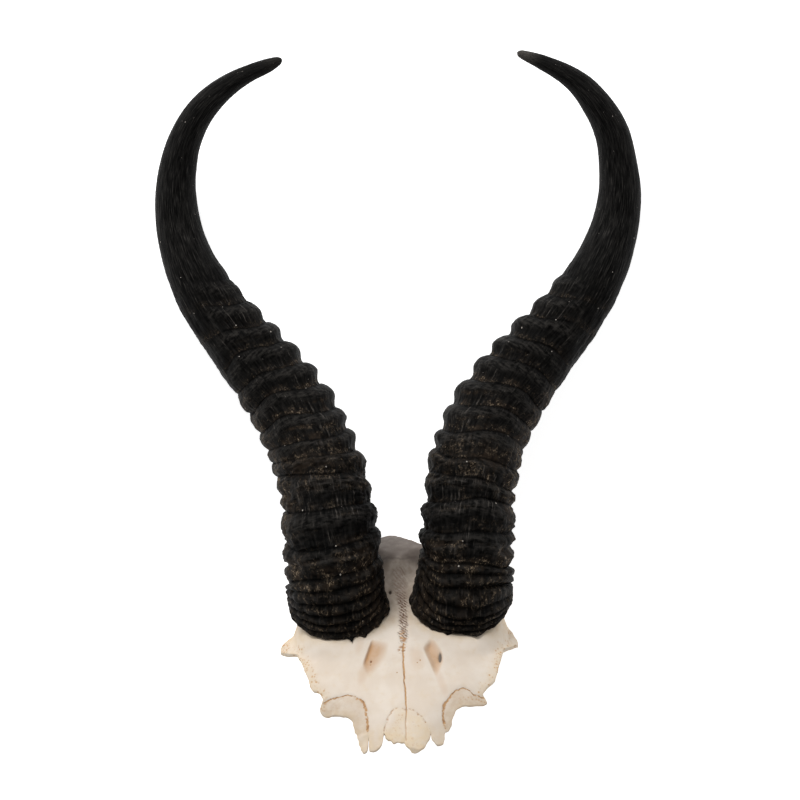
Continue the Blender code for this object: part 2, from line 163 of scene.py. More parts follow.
RIGHT_HORN_LINE = (
    (28.5, -69.7, 50.8, 21.9), (30.1, -56.6, 49.6, 21), (31.7, -44.5, 46, 20), (34, -31.8, 40.6, 19.7),
    (38.1, -17, 32.8, 19.2), (43.9, -5.5, 27, 18.6), (54.1, 8.5, 22.2, 17.5), (64.1, 21.6, 19.4, 16.4),
    (75.5, 35, 17.2, 14.8), (86.4, 50.6, 15.3, 13.4), (93.3, 65.3, 14.2, 12.2), (97.3, 78.6, 14.6, 10.9),
    (98.8, 91.8, 17.6, 9.9), (98.1, 102.3, 21.4, 9.1), (94.6, 117.8, 28.2, 7.9), (88, 128.3, 34.6, 6.8),
    (78, 138.2, 40.1, 5.4), (63.7, 146, 43.6, 3.9), (52.3, 150.5, 45.1, 1.5))

# Each crease between two ridges: how far along the horn it lies at these angles, its share of the full
# depth on the inner side, the front and the outer side, and, if it isn't closed, the angle where it ends.
CREASE_ANGLES = (0, 50, 100, 160, 180)
ALL_ROUND = 400
LEFT_CREASES = (
    (5, 4.8, 4.5, 2.4, 1, 0.6, 0.9, 0.5), (9, 7.8, 7.2, 4.6, 2.6, 0.6, 1, 0.5),
    (12, 10.4, 9.6, 7, 4.8, 0.7, 1, 1.1), (15, 13, 12, 9.6, 7.4, 0.9, 0.9, 0.5),
    (19, 16.4, 15, 12.4, 9.8, 0.5, 0.8, 0.4), (23, 20.5, 18.3, 15.2, 12.6, 0.8, 1.1, 0.8),
    (33, 28.7, 27.8, 31.5, 35.6, 1, 1.1, 1), (45, 41.2, 40.5, 44.5, 48, 1, 1, 1),
    (54, 52.5, 54.4, 64, 68, 1, 0.8, 1), (67, 61, 62, 71, 76, 1, 0.35, 0.8),
    (77.5, 69, 70, 79.5, 84.4, 1, 0.7, 1), (87, 81.5, 86.3, 90.5, 94.4, 1, 1, 1),
    (99.5, 95.5, 101.2, 103, 106.8, 1, 1, 1), (110.5, 109.3, 114, 115.5, 117.6, 1, 1, 1),
    (123.2, 122.5, 128, 126.5, 127, 1, 1, 0.3, 165), (134.8, 134, 141, 144, 146, 1, 1, 0, 110),
    (147.5, 147.5, 155, 158, 160, 1, 1, 0, 106), (162, 162.7, 167.3, 170, 171, 1, 1, 0, 104))
RIGHT_CREASES = (
    (4.5, 3.6, 3, 1.6, 0.7, 0.5, 0.9, 0.6), (8, 6.4, 5.8, 3.6, 1.9, 0.6, 1, 2),
    (12, 8.6, 7.8, 6, 4.2, 0.8, 1, 0.4), (16, 11.2, 10.4, 9, 6.8, 1.3, 0.8, 0.4),
    (19, 14, 14, 13, 10, 0.5, 0.9, 1.7), (21, 16.8, 17.2, 16.6, 15.4, 0.3, 0.8, 0.3),
    (23.5, 19.6, 20.6, 19.4, 20.4, 1.3, 1.1, 1), (32.4, 29.7, 31.8, 34, 36.8, 1, 1.1, 0.7),
    (43.6, 40.5, 42.6, 45.4, 47.6, 1, 1, 0.9), (56, 51.2, 50, 52, 55.2, 0.8, 0.5, 1.1),
    (67.6, 58, 58.8, 62, 65.6, 1, 0.9, 1), (75.8, 68.8, 71.8, 77, 81.2, 1, 0.9, 0.9),
    (86.3, 81.8, 85.8, 89.5, 92.4, 1, 1, 0.8), (97.6, 95.7, 101.8, 103.5, 106, 1, 1, 0.7),
    (110.8, 110.7, 115.5, 115, 116.4, 1, 1, 0.5, 175), (123.6, 123.7, 128.2, 127, 127, 1, 1, 0.2, 130),
    (135.2, 136, 143.2, 146, 147, 1, 1, 0, 108), (148.8, 149.6, 155, 158, 159, 1, 0.9, 0, 90),
    (161.6, 161.6, 165, 168, 169, 1, 0.7, 0, 60))

# Short folds within a ridge: the ridge, how far up it, between which angles, how deep and how wide.
LEFT_FOLDS = (
    (6, 0.47, 128, 250, 2.5, 2.6), (6, 0.62, 35, 135, 1.2, 0.8), (6, 0.36, 20, 90, 0.4, 0.7),
    (7, 0.75, 40, 90, 0.5, 0.7), (7, 0.5, 100, 150, 0.4, 0.8), (8, 0.46, 128, 215, 1.9, 2.3),
    (8, 0.57, 25, 120, 0.8, 0.8), (9, 0.5, 60, 130, 0.4, 0.7), (11, 0.45, 30, 120, 0.5, 0.8),
    (12, 0.4, 20, 70, 0.35, 0.8), (15, 0.45, 45, 110, 0.35, 0.7), (16, 0.35, 10, 80, 0.3, 0.7),
    (1, 0.5, 20, 80, 0.5, 0.5), (3, 0.55, 80, 150, 0.5, 0.5), (4, 0.5, 15, 75, 0.4, 0.5),
    (5, 0.4, 60, 140, 0.7, 0.6))
RIGHT_FOLDS = (
    (7, 0.62, 30, 115, 1.2, 0.8), (7, 0.55, 128, 235, 3, 2.2), (7, 0.2, 100, 150, 0.5, 0.7),
    (8, 0.7, 40, 100, 0.6, 0.7), (8, 0.35, 80, 140, 0.5, 0.7), (9, 0.5, 60, 130, 0.5, 0.8),
    (11, 0.54, 135, 215, 0.7, 1.4), (12, 0.5, 40, 100, 0.35, 0.8), (13, 0.45, 20, 90, 0.4, 0.8),
    (15, 0.4, 30, 100, 0.35, 0.7), (2, 0.5, 30, 90, 0.5, 0.5), (4, 0.45, 60, 130, 0.5, 0.5),
    (3, 0.5, 10, 60, 0.5, 0.5), (6, 0.5, 50, 120, 0.5, 0.5))

# How far each horn's crests stand out beyond its half width: distance along, inner side, outer side.
LEFT_SWELL = (
    (0, -0.4, -0.2), (2, -0.9, -0.2), (4, -1.3, -0.1), (8, -1.6, 0.1), (14, -1.5, 0.9), (22, -2, 1.2),
    (30, -0.7, 1.5), (41, 0.8, 0.4), (51, 0.7, 0.4), (60, 1.3, 0.5), (72, 1.5, -0.2), (93, 1.9, 0.1),
    (117, 1.9, 0), (129, 1.4, -0.1), (142, 1, 0.1), (156, 0.4, 0), (168, 0.1, -0.3), (180, -0.5, -0.4),
    (200, -0.6, -0.3), (226, -0.1, -0.3), (260, -0.3, -0.6), (282, -0.5, -0.8), (296, 0, -0.3))
RIGHT_SWELL = (
    (0, 0, -0.2), (5, -0.9, 0.4), (13, -2.6, 0.9), (20, -2.7, 1.2), (28, -1.6, 1.3), (38, -0.3, 0.3),
    (51, 0.8, -0.4), (62, 1.6, 0.3), (75, 1.2, 0), (88, 1.4, 0.8), (99, 1.4, 1), (112, 1.6, 0),
    (129, 0.6, 0), (142, 0.5, 0.2), (156, 0, 0.2), (168, -0.7, 0.1), (180, -1.1, 0), (205, -0.9, 0),
    (226, -0.6, -0.4), (244, -0.2, -0.3), (260, -0.5, 0.1), (282, -0.9, -0.5), (296, 0, -0.1))

# The base's ragged rim: the angle, and how far it stands out there beyond the half width.
LEFT_RIM = (
    (0, 0.1), (8, 0.8), (15, 1.1), (22, 0.4), (30, 0.3), (38, 0.9), (44, 0.3), (52, 1.2), (57, 1.4),
    (62, 3), (65, 0.5), (72, 0.8), (76.5, 3.7), (79, 0.3), (88, 0.7), (95, 0.1), (104, 0.7), (112, 0),
    (123, 0), (132, -0.7), (143, -1.4), (152, -0.6), (164, -1), (181, -0.6), (230, 0.2), (300, 0.2),
    (348, -0.3), (360, 0.1))
RIGHT_RIM = (
    (0, 0.8), (4, 0.4), (12, -0.3), (20, 0.1), (27, -0.6), (33, -0.6), (40, 0.2), (47, -0.4), (54, 0.4),
    (63, 0.5), (68, 0), (73, 1), (78, -0.6), (84, -1.2), (90, -0.9), (97, 0.6), (104, 2.2), (110, 1.4),
    (117, -0.4), (126, 0.3), (136, -0.9), (146, -0.6), (158, -1.7), (180, -1.9), (230, 0.2), (300, 0.2),
    (352, 1.1), (360, 0.8))
RIM_WIDTH = 1.7
RIM_WAVER = 0.16
RIM_WAVES = (14, 46)
RIM_SEED = 90

# Crease depth along the horn on the inner side, the front and the outer side, and how far it may stray.
INNER_DEPTH = (
    (0, 0.8), (20, 1.7), (33, 2.3), (45, 1.9), (54, 2.1), (67, 2.4), (78, 2.6), (124, 2.9), (135, 2.4),
    (147, 1.6), (162, 0.8), (175, 0.4))
FRONT_DEPTH = (
    (0, 1.1), (16, 1.6), (30, 2.1), (60, 1.8), (110, 1.8), (135, 1.6), (150, 1.1), (165, 0.5), (175, 0.3))
OUTER_DEPTH = (
    (0, 0.9), (10, 2.6), (22, 3.8), (36, 3.4), (48, 3), (57, 3.2), (68, 2.1), (80, 1.9), (94, 2.3),
    (107, 2.1), (118, 1.3), (128, 0.2), (175, 0.1))
RIM_DEPTH = 0.25
DEPTH_WAVER = 0.16
DEPTH_CHANCE = 0.06
DEPTH_LIMITS = (0.5, 1.3)
DEPTH_SEED = 50
# A crease that isn't closed fades over this stretch about its end, and comes back behind the horn.
CREASE_END = (-18, 26)
CREASE_RETURN = (300, 40)

# Behind, a crease runs level. On the outer side it first dips, by up to this much, where it lies low.
UNDER_ANGLE = 204
BACK_ANGLE = 260
UNDER_DIP = 8
UNDER_DIP_SHARE = 0.8
UNDER_DIP_END = (8, 15)
CREASE_WANDER = 0.4
WANDER_ROOM = 8

# Where a ridge's crest lies between its creases: on the inner side along the horn, in front, and outside.
INNER_CREST = ((0, 0.5), (24, 0.5), (58, 0.66), (80, 0.57), (170, 0.55))
FRONT_CREST = 0.72
FRONT_CREST_FROM = (12, 20)
OUTER_CREST = 0.5
ARCHES_END = (12, 14)
RISE_LEAN = 1.35
LAST_RISE = 9.0
CREASE_WIDTH = 0.6
CREASE_FULL_DEPTH = 1.2
SIDE_SHARPNESS = 1.6
FOLD_WAVE = 0.5
FOLD_END = 18

HORN_COLUMNS = 184
LOW_ROW_STEP = 0.42
ROW_STEP = 0.54
LOW_END = 60
FEWEST_ROWS = 5
TIP_ROW_STEP = 1.15
TIP_CROWDING = 1.25
NOTCH_CROWDING = 0.5
HEADING_STEP = 0.5
TIP_ROUNDING = 2.2
TIP_CALM = (30, 0.4)
INNER_RINGS = (0.6, 0.97)

LEFT_SEED = 11
RIGHT_SEED = 12

# Unevenness of the horn. Each layer: its stretch in the horn straightened out, its size, its seed, and its
# height everywhere, over the ridged part and over the rugged part near the base.
STRAIGHT_RADIUS = 18
RIDGED_END = (150, 40)
RUGGED_END = (40, 45)
EVEN = (1, 1, 1)
CROSSWISE = (0.3, 0.3, 1)
LENGTHWISE = (1, 1, 0.3)
GRAIN = (1, 1, 0.09)
HORN_LUMPS = ((EVEN, 11, 1, 0.04, 0.16, 0), (EVEN, 4.2, 2, 0.02, 0.08, 0.08), (EVEN, 2.0, 5, 0.03, 0, 0.10),
              (CROSSWISE, 1.7, 6, 0, 0.06, 0.16), (CROSSWISE, 3.4, 7, 0, 0.05, 0.12),
              (GRAIN, 1.7, 3, 0.03, 0.04, 0), (LENGTHWISE, 5, 4, 0, 0.08, 0))

# How dusty each horn is, and how worn its tip.
LEFT_DUST = 0.9
RIGHT_DUST = 1.0
LEFT_TIP_WEAR = 0.1
RIGHT_TIP_WEAR = 0.6

# Where dust lies: start, rise, end and fall of each stretch, by angle or by distance along, and its amount.
OUTER_EDGE = (125, 35, 205, 35)
EDGE_DUST = (22, 22, 100, 30)
EDGE_DUST_AMOUNT = 0.8
LOW_DUST_END = (16, 16)
LOW_DUST_AMOUNT = 0.45
MIDDLE_DUST = (44, 8, 62, 8)
MIDDLE_DUST_AMOUNT = 0.35
UPPER_DUST = (62, 10, 104, 14)
CREASE_DUST_AMOUNTS = (0.3, 0.7, 0.6)
CREASE_DUST_REACH = 0.2
FOLD_FULL_DEPTH = 0.6
MOST_DUST = 1.2
DUST_END = (150, 20)
WORN_FROM = (120, 50)
TIP_WEAR_LENGTH = 12
RIDGED_FLAKES = 0.35

# Plate surface: how many points go round it, and its rows over the roof and along the underside.
PLATE_COLUMNS = 720
LOOP_SOFTNESS = 14.0
LOOP_SHARE = 0.80
LOOP_AT = 0.62
CORE_CROWDING = 0.9
ROOF_ROWS = 56
BRIM_ROWS = 26
BRIM_CROWDING = 1.5
UNDER_BRIM_ROWS = 18
UNDER_BRIM_CROWDING = 1.4
UNDER_ROWS = 30
WALL_SHARES = (0.33, 0.67)
EDGE_ROUNDING = 0.45
UNDER_EDGE_ROUNDING = (0.4, 0.3)
STEEPEST_ROUNDING = 0.96

# Unevenness of the bone: each layer's size, seed and height.
EDGE_LUMPS = ((2.2, 301, 0.10), (6.0, 302, 0.12))
ROOF_LUMPS = ((13, 311, 0.16), (4.2, 312, 0.05))
RIM_LUMPS = ((2.4, 313, 0.06),)
HOLLOW_LUMPS = ((9, 321, 0.12), (3, 322, 0.05))
UNDER_LUMPS = ((1.6, 323, 0.03),)
RIM_REACH = 7

# Seams in the bone and other marks, in the plate's frame. A groove is its depth and half width.
MIDLINE = (
    (0, -24.5), (-0.5, -30.2), (-0.3, -34), (-0.5, -38), (0, -43), (0, -47), (0.3, -51), (0.2, -55),
    (0.4, -60), (0, -67), (-0.1, -73.6))
MIDLINE_GROOVE = (0.22, 0.5)
LEFT_TEAR_SEAM = (
    (-34.6, -50.2), (-31.7, -49.7), (-28.2, -49.7), (-25.6, -49.4), (-22.2, -50.1), (-20.5, -52),
    (-18.8, -53), (-17.6, -54.2), (-17, -57.3), (-16.4, -61.7), (-16.2, -66.6))
RIGHT_TEAR_SEAM = (
    (33.4, -50.6), (29.4, -49.8), (26.9, -48), (24.8, -47.6), (22.2, -49.1), (19.6, -51.8), (17.8, -54.7),
    (16.4, -56.7), (15.9, -59.3), (15.8, -61.9), (16.6, -66))
TEAR_GROOVE = (0.28, 0.55)
TEAR_STEP = 0.35
TEAR_STEP_WIDTH = 1.0
TEAR_STEP_END = (-9, 5)
NOSE_ARC_LEFT = (
    (-9.3, -68.6), (-8.4, -65.7), (-7.1, -62.8), (-5.9, -60.1), (-4.9, -59.3), (-2.3, -59), (0.2, -60))
NOSE_ARC_RIGHT = ((0.4, -60), (2.3, -59.6), (4, -60.5), (7.2, -63.8), (10.1, -68.1))
NOSE_ARC_SPLIT = 0.3
NOSE_ARC_GROOVE = (0.18, 0.6)
BACK_SEAM = ((-20, 36), (-7.3, 32.9), (-0.6, 29.8), (6.5, 33.5), (20, 37))
BACK_GROOVE = (0.05, 0.7)
SEAM_END = 1.2
FAR_AWAY = 9.0

STITCHED = ((-1.2, 26), (-0.8, 15), (-0.1, 4), (0.2, -7.5), (-0.1, -17), (-0.1, -26), (-0.4, -31))
STITCHED_HALF_WIDTH = (1.6, 0.9)
STITCHED_WIDENING = (-5, 25)
STITCHED_LUMPS = (3, 316, 0.5)
STITCHED_FADE = (0.9, 1.6)
STITCHED_ROUGHNESS = (1.7, 314, 0.12)

# Each pit: which of its sides is the steep one, and its corners, each with the width over which the side
# that starts there fades out.
PITS = ((0, ((-13.8, -20.4, 1.0), (-18.1, -35.4, 3.5), (-15.4, -43.0, 7.5), (-7.6, -34.0, 6.0),
             (-6.0, -23.6, 4.5))),
        (1, ((12.4, -20.8, 1.8), (8.0, -27.4, 3.2), (13.4, -44.5, 4.0), (17.4, -35.2, 2.6),
             (16.6, -28.0, 3.6))))
PIT_DEPTH = 1.9
PIT_FLOOR = 0.7
PIT_STAIN = 0.9
PIT_TAN_AND_SHADE_FADE = 0.4
# Painted shade along each pit's steep wall: its width, where it peaks, and how strong it is.
PIT_WALL = 1.1
PIT_WALL_AT = 0.6
PIT_WALL_SHADE = 0.4
MOST_PIT_TAN_AND_SHADE = 1.3
# Each faint tan smear beside the pits: its centre, half sizes, turn and strength.
SMEARS = (
    ((-17.6, -40), (2.6, 7), -0.25, 0.35), ((5.6, -33.6), (3.6, 7.5), 0.15, 0.32),
    ((15.8, -46), (2.2, 8.5), 0.25, 0.30), ((-19, -24), (2.2, 6), -0.25, 0.22))
# Each hole: its centre, half sizes, depth and colour. The grey of the slit and of the dark and brown holes
# is painted shade inside them; the pale spots keep the bone's own colour.
SLIT_SHADE_GREY = (122, 114, 106)
HOLE_SHADE_BROWN = (146, 106, 72)
SPOT_PALE = (190, 152, 112)
HOLE_SHADE_DARK = (74, 62, 52)
HOLES = (
    ((15.5, -31.4), (0.7, 2.6), 1.4, SLIT_SHADE_GREY), ((-14.2, -32.3), (0.42, 0.8), 0.7, HOLE_SHADE_BROWN),
    ((-5.4, 14.3), (0.7, 1.3), 1, HOLE_SHADE_DARK), ((6.9, -34.4), (0.35, 0.45), 0.3, SPOT_PALE),
    ((5.6, -35.9), (0.3, 0.35), 0.2, SPOT_PALE), ((-14.5, -34.6), (0.3, 0.35), 0.2, SPOT_PALE),
    ((-3.2, -41), (0.3, 0.35), 0.1, SPOT_PALE))
HOLE_REACH = 1.45
HOLE_STEEPNESS = 0.9

# Stains on the bone: over the nose's end, round the horns' feet and along free edges; between the horns and
# on the braincase behind them, painted shade with some dirt.
NOSE_STAIN = ((1.0, -71.0), (8.5, 10.0))
NOSE_STAIN_FADE = (1.5, 0.9)
NOSE_STAIN_LUMPS = (9, 315, 0.25)
SHADE_AND_GRIME_FROM = (-17, 26)
SHADE_AND_GRIME_SIDES = (9, 20)
UNDER_SHADE_AND_GRIME = 0.2
SKIRT_FADE = (1.32, 0.25)
EDGE_STAIN = 5
SAWN_FADE = 1.5


def smooth_step(t):
    """0 below 0, 1 above 1, and an even S between."""
    t = np.clip(t, 0.0, 1.0)
    return t * t * (3.0 - 2.0 * t)


def rise(value, start, width):
    """From 0 at the start to 1 a width further on, in an even S."""
    return smooth_step((value - start) / width)


def stretch_of(value, start, rising, end, falling):
    """1 between start and end: up over one width from the start, and down over another past the end."""
    return rise(value, start, rising) * (1 - rise(value, end, falling))


def smooth_curve(places, values, at):
    """Cubic curve through the values, with each point's slope taken from its neighbours."""
    places = np.asarray(places, float)
    values = np.asarray(values, float)
    slope = np.gradient(values, places, axis=0)
    at = np.clip(at, places[0], places[-1])
    i = np.clip(np.searchsorted(places, at, side="right") - 1, 0, len(places) - 2)
    span = places[i + 1] - places[i]
    t = (at - places[i]) / span
    if values.ndim == 2:
        span = span[:, None]
        t = t[:, None]
    start = (1 + 2 * t) * (1 - t) ** 2 * values[i] + t * (1 - t) ** 2 * span * slope[i]
    end = t * t * (3 - 2 * t) * values[i + 1] + t * t * (t - 1) * span * slope[i + 1]
    return start + end


def oval_reach(x, y, centre, half):
    """0 at an oval's centre, 1 on its edge, growing outward."""
    return np.hypot((x - centre[0]) / half[0], (y - centre[1]) / half[1])


def lumps(points, size, seed, waves=22):
    """Smooth uneven heights of about -1 to 1: plane waves about one size long, in all directions."""
    random = np.random.default_rng(seed)
    heading = random.normal(size=(waves, 3))
    heading /= np.linalg.norm(heading, axis=1)[:, None]
    heading *= 2 * np.pi / (size * random.uniform(*LUMP_SIZES, waves))[:, None]
    phase = random.uniform(0, 2 * np.pi, waves)
    flat = points.reshape(-1, 3)
    total = np.zeros(len(flat))
    for wave, start in zip(heading, phase):
        total += np.cos(flat @ wave + start)
    return (total / math.sqrt(waves)).reshape(points.shape[:-1])


def layered(points, layers):
    """The sum of several layers of lumps, each given by its size, seed and height."""
    return sum(height * lumps(points, size, seed) for size, seed, height in layers)


def wander(angle, seed, first=2, last=9):
    """A wavering line round a ring, about -1 to 1: waves of 2 to 9 turns a round, short ones smaller."""
    random = np.random.default_rng(seed)
    total = np.zeros_like(angle)
    for turns in range(first, last + 1):
        height = random.uniform(*WANDER_HEIGHTS) / turns ** 0.5
        total += height * np.sin(turns * angle + random.uniform(0, 2 * np.pi))
    return total / WANDER_SPREAD


def inside_box(points):
    """The points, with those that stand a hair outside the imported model's box moved onto its sides."""
    low, high = (np.array(corner) / MM for corner in packed_box)
    return np.clip(points, low, high)


def new_piece(name, points, faces, material, attributes):
    """A mesh object from points in millimetres, shaded smooth, with named values at its points."""
    mesh = bpy.data.meshes.new(name)
    mesh.from_pydata((points * MM).tolist(), [], faces)
    mesh.update()
    mesh.shade_smooth()
    for label, values in attributes.items():
        kind, field = ("FLOAT_VECTOR", "vector") if values.ndim == 2 else ("FLOAT", "value")
        layer = mesh.attributes.new(label, kind, "POINT")
        layer.data.foreach_set(field, values.astype(np.float32).ravel())
    mesh.materials.append(material)
    piece = bpy.data.objects.new(name, mesh)
    bpy.context.scene.collection.objects.link(piece)
    return piece


def grid_faces(rows, columns, turned):
    """Faces of a grid whose columns run round and meet, with a fan to a pole beyond its first and last row.

    The first pole is the point after the grid, and the last pole the one after that. Turned, they face the
    other way.
    """
    near = (np.arange(rows - 1)[:, None] * columns + np.arange(columns)[None, :])
    beside = (np.arange(rows - 1)[:, None] * columns + (np.arange(columns) + 1)[None, :] % columns)
    quads = np.stack([near, beside, beside + columns, near + columns], axis=-1).reshape(-1, 4)
    around = np.arange(columns)
    ahead = (around + 1) % columns
    last = (rows - 1) * columns
    pole = rows * columns
    first_fan = np.stack([ahead, around, np.full(columns, pole)], axis=-1)
    last_fan = np.stack([last + around, last + ahead, np.full(columns, pole + 1)], axis=-1)
    faces = []
    for group in (quads, first_fan, last_fan):
        faces += (group[:, ::-1] if turned else group).tolist()
    return faces


def plate_matrix():
    """Where the plate's own frame lies in the world, in millimetres."""
    turn = Euler((-PLATE_LEAN, 0, PLATE_TURN)).to_matrix().to_4x4()
    return Matrix.Translation(PLATE_AT) @ turn


def horn_line(pedicle, line):
    """The horn's middle line as a function of the distance along it, and its length.

    The line is a cubic curve through the base, a point straight out from it, and the given points. At each
    distance it gives the middle point, the half width, and the sideways and outward directions.
    """
    place = plate_matrix()
    facing = Vector((0, PEDICLE_SLOPE, 1)).normalized()
    base = place @ (Vector(pedicle) + facing * HORN_GAP)
    start = np.array((place.to_3x3() @ facing).normalized())
    first = [*base, BASE_HALF_WIDTH]
    second = [*(base + Vector(start) * BASE_RUN), BASE_HALF_WIDTH]
    knots = np.array([first, second] + [list(p) for p in line], float)
    gaps = np.linalg.norm(np.diff(knots[:, :3], axis=0), axis=1)
    places = np.concatenate([[0], np.cumsum(gaps)])
    length = places[-1]
    marks = np.append(np.arange(0, length, HEADING_STEP), length)
    section = smooth_curve(places, knots, marks)
    ahead = smooth_curve(places, knots, marks + HEADING_STEP)[:, :3]
    ahead = ahead - smooth_curve(places, knots, marks - HEADING_STEP)[:, :3]
    ahead[0] = start
    ahead /= np.linalg.norm(ahead, axis=1)[:, None]
    side = np.cross(ahead, (0, 0, 1))
    side /= np.linalg.norm(side, axis=1)[:, None]
    face = np.cross(side, ahead)
    table = np.column_stack([section, side, face])

    def at(along):
        inside = np.clip(along, 0, length)
        values = [np.interp(inside, marks, column) for column in table.T]
        middle = np.stack(values[0:3], axis=-1) + np.minimum(along, 0)[..., None] * start
        return middle, values[3], np.stack(values[4:7], axis=-1), np.stack(values[7:10], axis=-1)

    return at, length


def crease_lines(creases, angle, seed):
    """How far along the horn each crease lies at each angle: closed wavering curves."""
    inner, near, far, outer, outermost = CREASE_ANGLES
    stations = (outermost - 360, UNDER_ANGLE - 360, BACK_ANGLE - 360, inner, near, far, outer, outermost,
                UNDER_ANGLE, BACK_ANGLE, 360 + inner, 360 + near)
    lines = [np.zeros_like(angle)]
    for number, (a, b, c, d, e, *_) in enumerate(creases):
        under = e - min(UNDER_DIP_SHARE * e, UNDER_DIP * (1 - rise(e, *UNDER_DIP_END)))
        back = (a + e) / 2
        heights = (e, under, back, a, b, c, d, e, under, back, a, b)
        room = min(1.0, (a - lines[-1][0]) / WANDER_ROOM)
        wavering = CREASE_WANDER * room * wander(angle, seed + number)
        lines.append(smooth_curve(stations, heights, np.degrees(angle)) + wavering)
    return np.array(lines)


def horn_rows(lines, length):
    """The grid's rows: the distance along the horn at each angle, the ridge, and the place in the ridge.

    Rows follow the creases, crowded towards them, and beyond the last crease they run on to the tip.
    """
    along = []
    ridge = []
    share = []
    for number, (low, high) in enumerate(zip(lines[:-1], lines[1:])):
        step = LOW_ROW_STEP if low.mean() < LOW_END else ROW_STEP
        count = max(FEWEST_ROWS, round((high - low).mean() / step))
        even = np.arange(count) / count
        crowded = even - NOTCH_CROWDING * np.sin(2 * np.pi * even) / (2 * np.pi)
        for w in crowded:
            along.append(low + (high - low) * w)
            ridge.append(number)
            share.append(w)
    last = lines[-1]
    count = round((length - last.mean()) / TIP_ROW_STEP)
    for w in 1 - (1 - np.arange(count) / count) ** TIP_CROWDING:
        along.append(last + (length - last) * w)
        ridge.append(len(lines) - 1)
        share.append(w)
    return np.array(along), np.array(ridge), np.array(share)


def side_shares(angle):
    """How much each angle belongs to the inner side, the front or back, and the outer side; together 1."""
    inner = np.clip(np.cos(angle), 0, 1) ** SIDE_SHARPNESS
    outer = np.clip(-np.cos(angle), 0, 1) ** SIDE_SHARPNESS
    return inner, 1 - inner - outer, outer


def table_at(table, along, column=1):
    """A table's column as a smooth curve of the distance along the horn."""
    table = np.array(table, float)
    return smooth_curve(table[:, 0], table[:, column], along.ravel()).reshape(along.shape)


def crease_depths(creases, lines, angle, seed):
    """How deep each crease is at each angle: the depths along the horn times its share, up to its end."""
    random = np.random.default_rng(seed)
    sides = side_shares(angle)
    degrees = np.degrees(angle)
    end_offset, end_width = CREASE_END
    depths = [np.full(len(angle), RIM_DEPTH)]
    for number, (crease, line) in enumerate(zip(creases, lines[1:])):
        *own_shares, ends = (*crease, ALL_ROUND)[5:9]
        depth = 0
        for side, own_share, table in zip(sides, own_shares, (INNER_DEPTH, FRONT_DEPTH, OUTER_DEPTH)):
            depth = depth + side * own_share * table_at(table, line)
        open_share = 1 - rise(degrees, ends + end_offset, end_width)
        if ends < ALL_ROUND:
            open_share = np.maximum(open_share, rise(degrees, *CREASE_RETURN))
        waver = DEPTH_WAVER * wander(angle, seed + DEPTH_SEED + number) * (1 - sides[0])
        waver = 1 + waver + random.uniform(-DEPTH_CHANCE, DEPTH_CHANCE)
        depths.append(depth * open_share * np.clip(waver, *DEPTH_LIMITS))
    depths.append(np.zeros(len(angle)))
    return np.array(depths)


def rounded_fall(q):
    """From 0 to 1, slow at first and steep at the end: half a power of q, half a quarter circle."""
    return 0.5 * q ** 2.2 + 0.5 * (1 - np.sqrt(np.clip(1 - q * q, 0, 1)))


def crease_at(along, ridge, ahead):
    """How far along the horn the crease below (0) or above (1) each row lies: its ridge's first row."""
    numbers = np.arange(ridge.max() + 1)
    first = np.searchsorted(ridge, numbers)
    wanted = np.minimum(ridge + ahead, numbers[-1])
    return along[first[wanted]]


def ridge_relief(along, ridge, share, angle, depths):
    """How far each point lies below the crests, how near a crease it is, and its height in its ridge.

    Going to the tip, each ridge rises from its crease to its crest in an S and falls to the next crease
    ever more steeply. On the outer side and near the base it rises as it falls, as a round arch.
    """
    inner, front, outer = (side[None, :] for side in side_shares(angle))
    front_crest = OUTER_CREST + (FRONT_CREST - OUTER_CREST) * rise(along, *FRONT_CREST_FROM)
    crest_at = inner * table_at(INNER_CREST, along) + outer * OUTER_CREST + front * front_crest
    low = depths[ridge]
    high = depths[ridge + 1]
    w = share[:, None] * np.ones_like(along)
    last = (ridge == ridge.max())[:, None]
    t = np.clip(w / crest_at, 0, 1)
    q = np.clip((w - crest_at) / (1 - crest_at), 0, 1)
    arch = np.maximum(outer, 1 - rise(along, *ARCHES_END))
    up = (1 - arch) * (1 - smooth_step(t ** RISE_LEAN)) + arch * rounded_fall(1 - t)
    down = rounded_fall(q)
    sunk = np.where(w < crest_at, low * up, high * down)
    past = along - along[ridge == ridge.max()][0][None, :]
    sunk = np.where(last, low * (1 - np.clip(past / LAST_RISE, 0, 1)) ** 2, sunk)
    nearness = np.zeros_like(along)
    for ahead, depth in ((0, low), (1, np.where(last, 0, high))):
        gap = (along - crease_at(along, ridge, ahead)) / CREASE_WIDTH
        nearness = np.maximum(nearness, np.exp(-gap ** 2) * np.clip(depth / CREASE_FULL_DEPTH, 0, 1))
    return sunk, nearness, 1 - np.where(w < crest_at, up, down)


def fold_relief(along, ridge, share, angle, folds):
    """Depth of the short folds: grooves that keep their place in the ridge and thin out at both ends."""
    degrees = np.degrees(angle)
    low = crease_at(along, ridge, 0)
    high = crease_at(along, ridge, 1)
    total = np.zeros_like(along)
    for number, place, start, end, depth, width in folds:
        apart = (share[:, None] - place) * (high - low) + FOLD_WAVE * np.sin(3 * angle + number)[None, :]
        ends = stretch_of(degrees, start, FOLD_END, end - FOLD_END, FOLD_END)
        total += (ridge == number)[:, None] * depth * np.exp(-(apart / width) ** 2) * ends[None, :]
    return total


def ragged_rim(angle, rim, seed):
    """How far the rim stands out at each angle: straight between its table's points, and finely uneven."""
    table = np.array(rim, float)
    coarse = np.interp(np.degrees(angle), table[:, 0], table[:, 1])
    return coarse + RIM_WAVER * wander(angle, seed + RIM_SEED, *RIM_WAVES)


